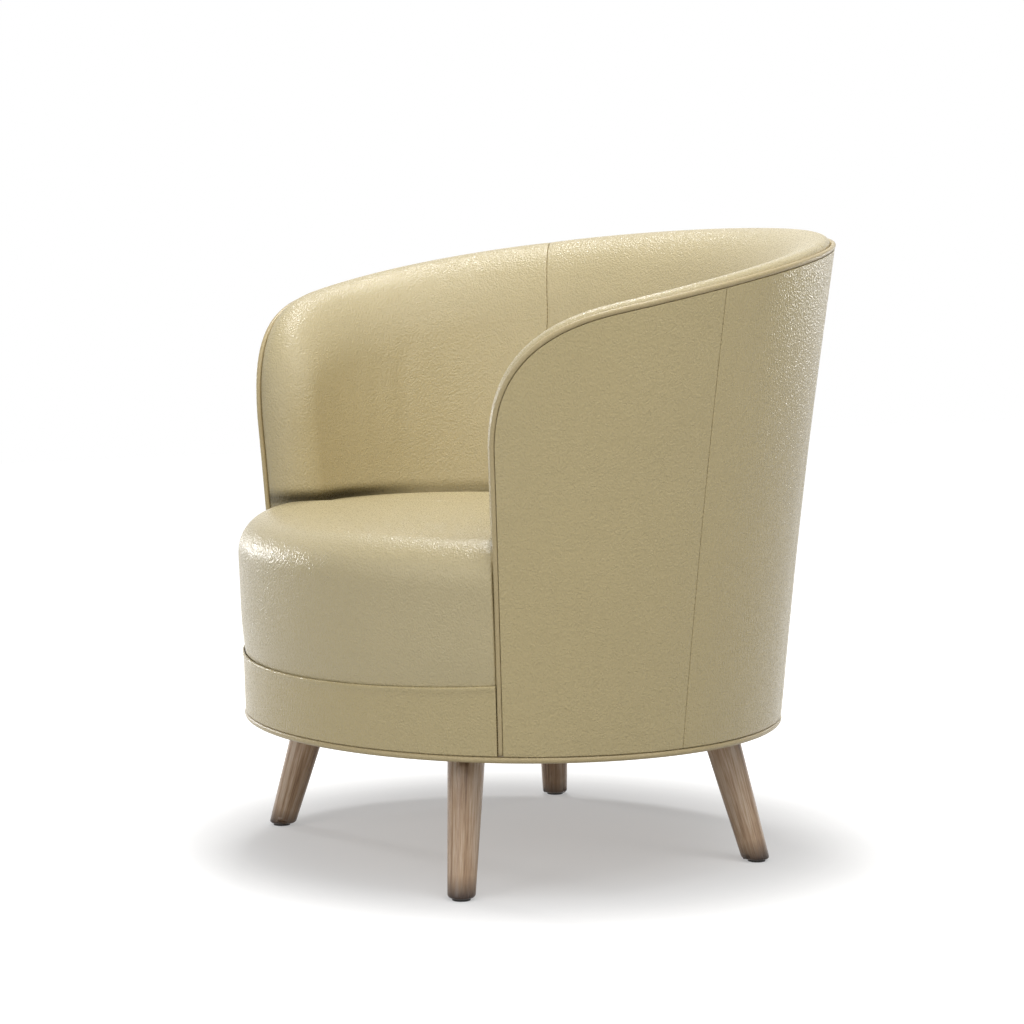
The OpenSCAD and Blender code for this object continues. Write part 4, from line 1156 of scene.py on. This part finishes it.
def dust_cover():
    """The black cambric strip that closes the tub's bottom, stretched and stapled round the platform."""
    count, rows = 240, 6

    def place(i, j):
        u, t = 360 * (i % count) / count, j / rows
        outer = wall(u, HEM_Z, HEM_CORD_D + HEM_WELT / 2 + 1.5)
        way = Vector((outer.x, outer.y - AXIS_Y * MM)).normalized() * (RING_HOLE + 1.5) * MM
        inner = Vector((way.x, way.y + AXIS_Y * MM, 0))
        sag = (0.5 + 0.3 * noise.noise(Vector((u / 4, t, 0)))) * sine(180 * t)
        flat = outer.lerp(inner, t)
        return Vector((flat.x, flat.y, (HEM_TOP - 0.5 - sag) * MM))

    bm = grid(count + 1, rows + 1, place)
    merge(bm)
    lay(bm, False)
    piece = finish_mesh("dust_cloth", bm)
    thicken(piece, CLOTH_THICK)
    dress(piece, "tub", "dust_cloth", BLACK_CAMBRIC, "dust_cover")


dust_cover()


def staples():
    """Crowns of the staples that hold the dust cloth, 10 mm wide."""
    crown = bmesh.new()
    bmesh.ops.create_cube(crown, size=1)
    bmesh.ops.scale(crown, vec=Vector((0.9, 0.6, 10.0)) * MM, verts=crown.verts)
    bmesh.ops.bevel(crown, geom=crown.edges[:], offset=0.2 * MM, segments=1, profile=0.5, affect="EDGES",
                    material=-1)
    line = []
    for u in range(361):
        outer = wall(u, HEM_Z, HEM_CORD_D + HEM_WELT / 2 + 6)
        line.append(Vector((outer.x, outer.y, (HEM_TOP - 1.4) * MM)))
    crowns = repeat("cloth_staples", crown, spread_along(line, STAPLE_PITCH))
    dress(crowns, "tub", "zinc_hardware", ZINC_PLATE)


staples()


def deck_cloth():
    """The woven cloth over the springs that the seat's foam lies on."""
    count, rows = 120, 24
    columns = seat_columns(count)

    def place(i, j):
        u, _, d = columns[i % count]
        edge = wall(u, DECK_Z, d + 8)
        flat = SEAT_CENTRE.lerp(edge.xy, j / rows)
        dip = 0.25 * (1 - math.cos(flat.x / (42 * MM) * math.pi)) * (1 - (j / rows) ** 4)
        return Vector((flat.x, flat.y, (DECK_Z + 0.9 - dip) * MM))

    bm = grid(count + 1, rows + 1, place)
    merge(bm)
    lay(bm, True)
    piece = finish_mesh("deck_cloth", bm)
    thicken(piece, CLOTH_THICK)
    dress(piece, "tub", "deck_cloth", DECK_CLOTH, "deck_cloth_sheet")


deck_cloth()


# Legs

FOOT_ROUND = 3.6


def leg(name, node, sx, sy):
    """A turned leg with a rounded foot, from the floor glide up to its plate."""
    reach = PLATFORM_RADIUS - LEG_INSET
    top = Vector((reach * cosine(LEG_DIRECTION), reach * sine(LEG_DIRECTION), LEG_TOP_Z))
    foot = Vector((top.x + SPLAY_X, top.y + SPLAY_Y, 0))
    lean = top - foot
    # The cone runs past both ends, where a plane cuts it level
    over = 30
    slope = (LEG_TOP_RADIUS - FOOT_RADIUS) / lean.length
    bm = bmesh.new()
    bmesh.ops.create_cone(bm, cap_ends=True, segments=56, radius1=(FOOT_RADIUS - over * slope) * MM,
                          radius2=(LEG_TOP_RADIUS + over * slope) * MM, depth=(lean.length + 2 * over) * MM)
    bmesh.ops.translate(bm, verts=bm.verts, vec=(0, 0, lean.length / 2 * MM))
    sides = [e for e in bm.edges if abs(e.verts[0].co.z - e.verts[1].co.z) > lean.length / 2 * MM]
    bmesh.ops.subdivide_edges(bm, edges=sides, cuts=24)
    turned_place = bm.verts.layers.float_vector.new("turned")
    for v in bm.verts:
        v[turned_place] = v.co
    turn = Vector((0, 0, 1)).rotation_difference(lean.normalized())
    bmesh.ops.rotate(bm, verts=bm.verts, cent=(0, 0, 0), matrix=turn.to_matrix())
    bmesh.ops.translate(bm, verts=bm.verts, vec=foot * MM)
    for height, up in ((GLIDE, -1), (LEG_TOP_Z, 1)):
        bmesh.ops.bisect_plane(bm, geom=bm.verts[:] + bm.edges[:] + bm.faces[:], dist=1e-6,
                               plane_co=(0, 0, height * MM), plane_no=(0, 0, up), clear_outer=True)
        bmesh.ops.holes_fill(bm, edges=bm.edges, sides=0)
    foot_rim = [e for e in bm.edges if all(v.co.z < (GLIDE + 0.001) * MM for v in e.verts)]
    bmesh.ops.bevel(bm, geom=foot_rim, offset=FOOT_ROUND * MM, segments=5, profile=0.5, affect="EDGES",
                    material=-1)
    bmesh.ops.scale(bm, vec=(sx, sy, 1), verts=bm.verts)
    bmesh.ops.translate(bm, verts=bm.verts, vec=(0, AXIS_Y * MM, 0))
    face_out(bm)
    dress(finish_mesh(name, bm), "leg_base", "leg_wood", WASHED_OAK, node)


for end, sy in (("front", -1), ("back", 1)):
    for side, sx in (("left", 1), ("right", -1)):
        leg(f"turned_leg_{end}_{side}", f"{end}_{side}_leg", sx, sy)


# Floor, light and camera

def seen_ray(m):
    """1 for the rays that show a white studio: the camera's, and those in gloss and glass."""
    path = add(m, "LightPath").outputs
    either = add(m, "Math", {"operation": "MAXIMUM"}, _0=path["Is Camera Ray"], _1=path["Is Glossy Ray"])
    return add(m, "Math", {"operation": "MAXIMUM"}, _0=either.outputs["Value"],
               _1=path["Is Transmission Ray"]).outputs["Value"]


def floor():
    bm = bmesh.new()
    bmesh.ops.create_grid(bm, x_segments=1, y_segments=1, size=6)
    piece = finish_mesh("studio_floor", bm)
    m = new_material("white_floor")
    seen = seen_ray(m)
    # Painted light: the floor's glow for seen rays is 0.35 within 0.3 m of the middle and full white past
    # 0.64 m, so the floor goes over into the white background all round the chair and the shadow ends at that
    # ring
    reach = add(m, "VectorMath", {"operation": "LENGTH"}, _0=add(m, "TexCoord").outputs["Object"])
    fade = add(m, "MapRange", {"interpolation_type": "SMOOTHSTEP"}, Value=reach.outputs["Value"],
               From_Min=0.3, From_Max=0.64, To_Min=0.35)
    strength = add(m, "Math", {"operation": "MULTIPLY"}, _0=seen, _1=fade.outputs["Result"])
    glow = add(m, "Emission", Color=(1, 1, 1, 1), Strength=strength.outputs["Value"])
    diffuse = add(m, "BsdfDiffuse", Color=linear("#BCBCBC"))
    both = add(m, "AddShader", _0=diffuse.outputs["BSDF"], _1=glow.outputs["Emission"])
    add(m, "OutputMaterial", Surface=both.outputs["Shader"])
    piece.data.materials.append(m)


floor()

CAMERA_AZIMUTH = 60.152
CAMERA_AWAY = 3625.9
CAMERA_ASIDE = -0.3
CAMERA_HEIGHT = 787.1
CAMERA_DOWN = 5.661
towards = Vector((sine(CAMERA_AZIMUTH), -cosine(CAMERA_AZIMUTH), 0))
right = Vector((cosine(CAMERA_AZIMUTH), sine(CAMERA_AZIMUTH), 0))
eye = bpy.data.cameras.new("studio_camera")
eye.lens = 100.45
eye.sensor_width = 36
camera = bpy.data.objects.new("studio_camera", eye)
camera.location = (towards * CAMERA_AWAY + right * CAMERA_ASIDE
                   + Vector((0, AXIS_Y, CAMERA_HEIGHT))) * MM
camera.rotation_euler = (math.radians(90 - CAMERA_DOWN), 0, math.radians(CAMERA_AZIMUTH))
bpy.context.scene.collection.objects.link(camera)
bpy.context.scene.camera = camera


def softbox(name, azimuth, away, height, wide, tall, watts, aim=0.42):
    """A rectangular softbox away metres from the chair's axis and height metres up, turned to a point
    aim metres up on the axis.

    azimuth is counted from the camera's direction, to the left. wide and tall are in metres."""
    light = bpy.data.lights.new(name, "AREA")
    light.shape = "RECTANGLE"
    light.size, light.size_y = wide, tall
    light.energy = watts
    lamp = bpy.data.objects.new(name, light)
    lamp.location = (towards * cosine(azimuth) - right * sine(azimuth)) * away
    lamp.location += Vector((0, AXIS_Y * MM, height))
    look = Vector((0, AXIS_Y * MM, aim)) - lamp.location
    lamp.rotation_euler = look.to_track_quat("-Z", "Y").to_euler()
    bpy.context.scene.collection.objects.link(lamp)


# Azimuth, distance, height, the face's width and height, watts, and the aim where it isn't the seat
softbox("overhead_softbox", 180, 0.2, 2.8, 1.0, 1.0, 17)
softbox("front_high_softbox", 0, 1.5, 2.7, 1.8, 1.4, 12)
softbox("left_high_softbox", 50, 1.6, 2.6, 1.8, 1.4, 2)
softbox("right_high_softbox", -50, 1.6, 2.6, 1.8, 1.4, 20)
softbox("front_softbox", 0, 2.4, 1.6, 2.0, 1.4, 10)
softbox("left_softbox", 55, 2.4, 1.6, 2.0, 1.4, 9.5)
softbox("right_softbox", -50, 2.4, 1.7, 2.0, 1.4, 7.5)
softbox("left_low_softbox", 40, 3.0, 1.0, 1.2, 1.4, 11)
softbox("right_strip", -57, 2.6, 1.0, 0.5, 1.7, 4, 0.6)
softbox("left_strip", 112, 2.6, 1.1, 0.5, 1.2, 2, 0.6)
softbox("left_back_softbox", 131, 2.6, 0.66, 0.36, 0.36, 16, 0.5)
softbox("right_back_softbox", -131, 2.6, 0.7, 0.3, 0.25, 5, 0.7)
softbox("high_back_softbox", 170, 1.15, 2.6, 0.5, 0.35, 20)

world = bpy.data.worlds.new("studio")
bpy.context.scene.world = world
world.use_nodes = True
world.node_tree.nodes.clear()
white = add(world, "MapRange", Value=seen_ray(world), To_Min=0.1, To_Max=1.0).outputs["Result"]
sky = add(world, "Background", Color=(1, 1, 1, 1), Strength=white).outputs["Background"]
add(world, "OutputWorld", Surface=sky)
bpy.context.scene.view_settings.view_transform = "Standard"
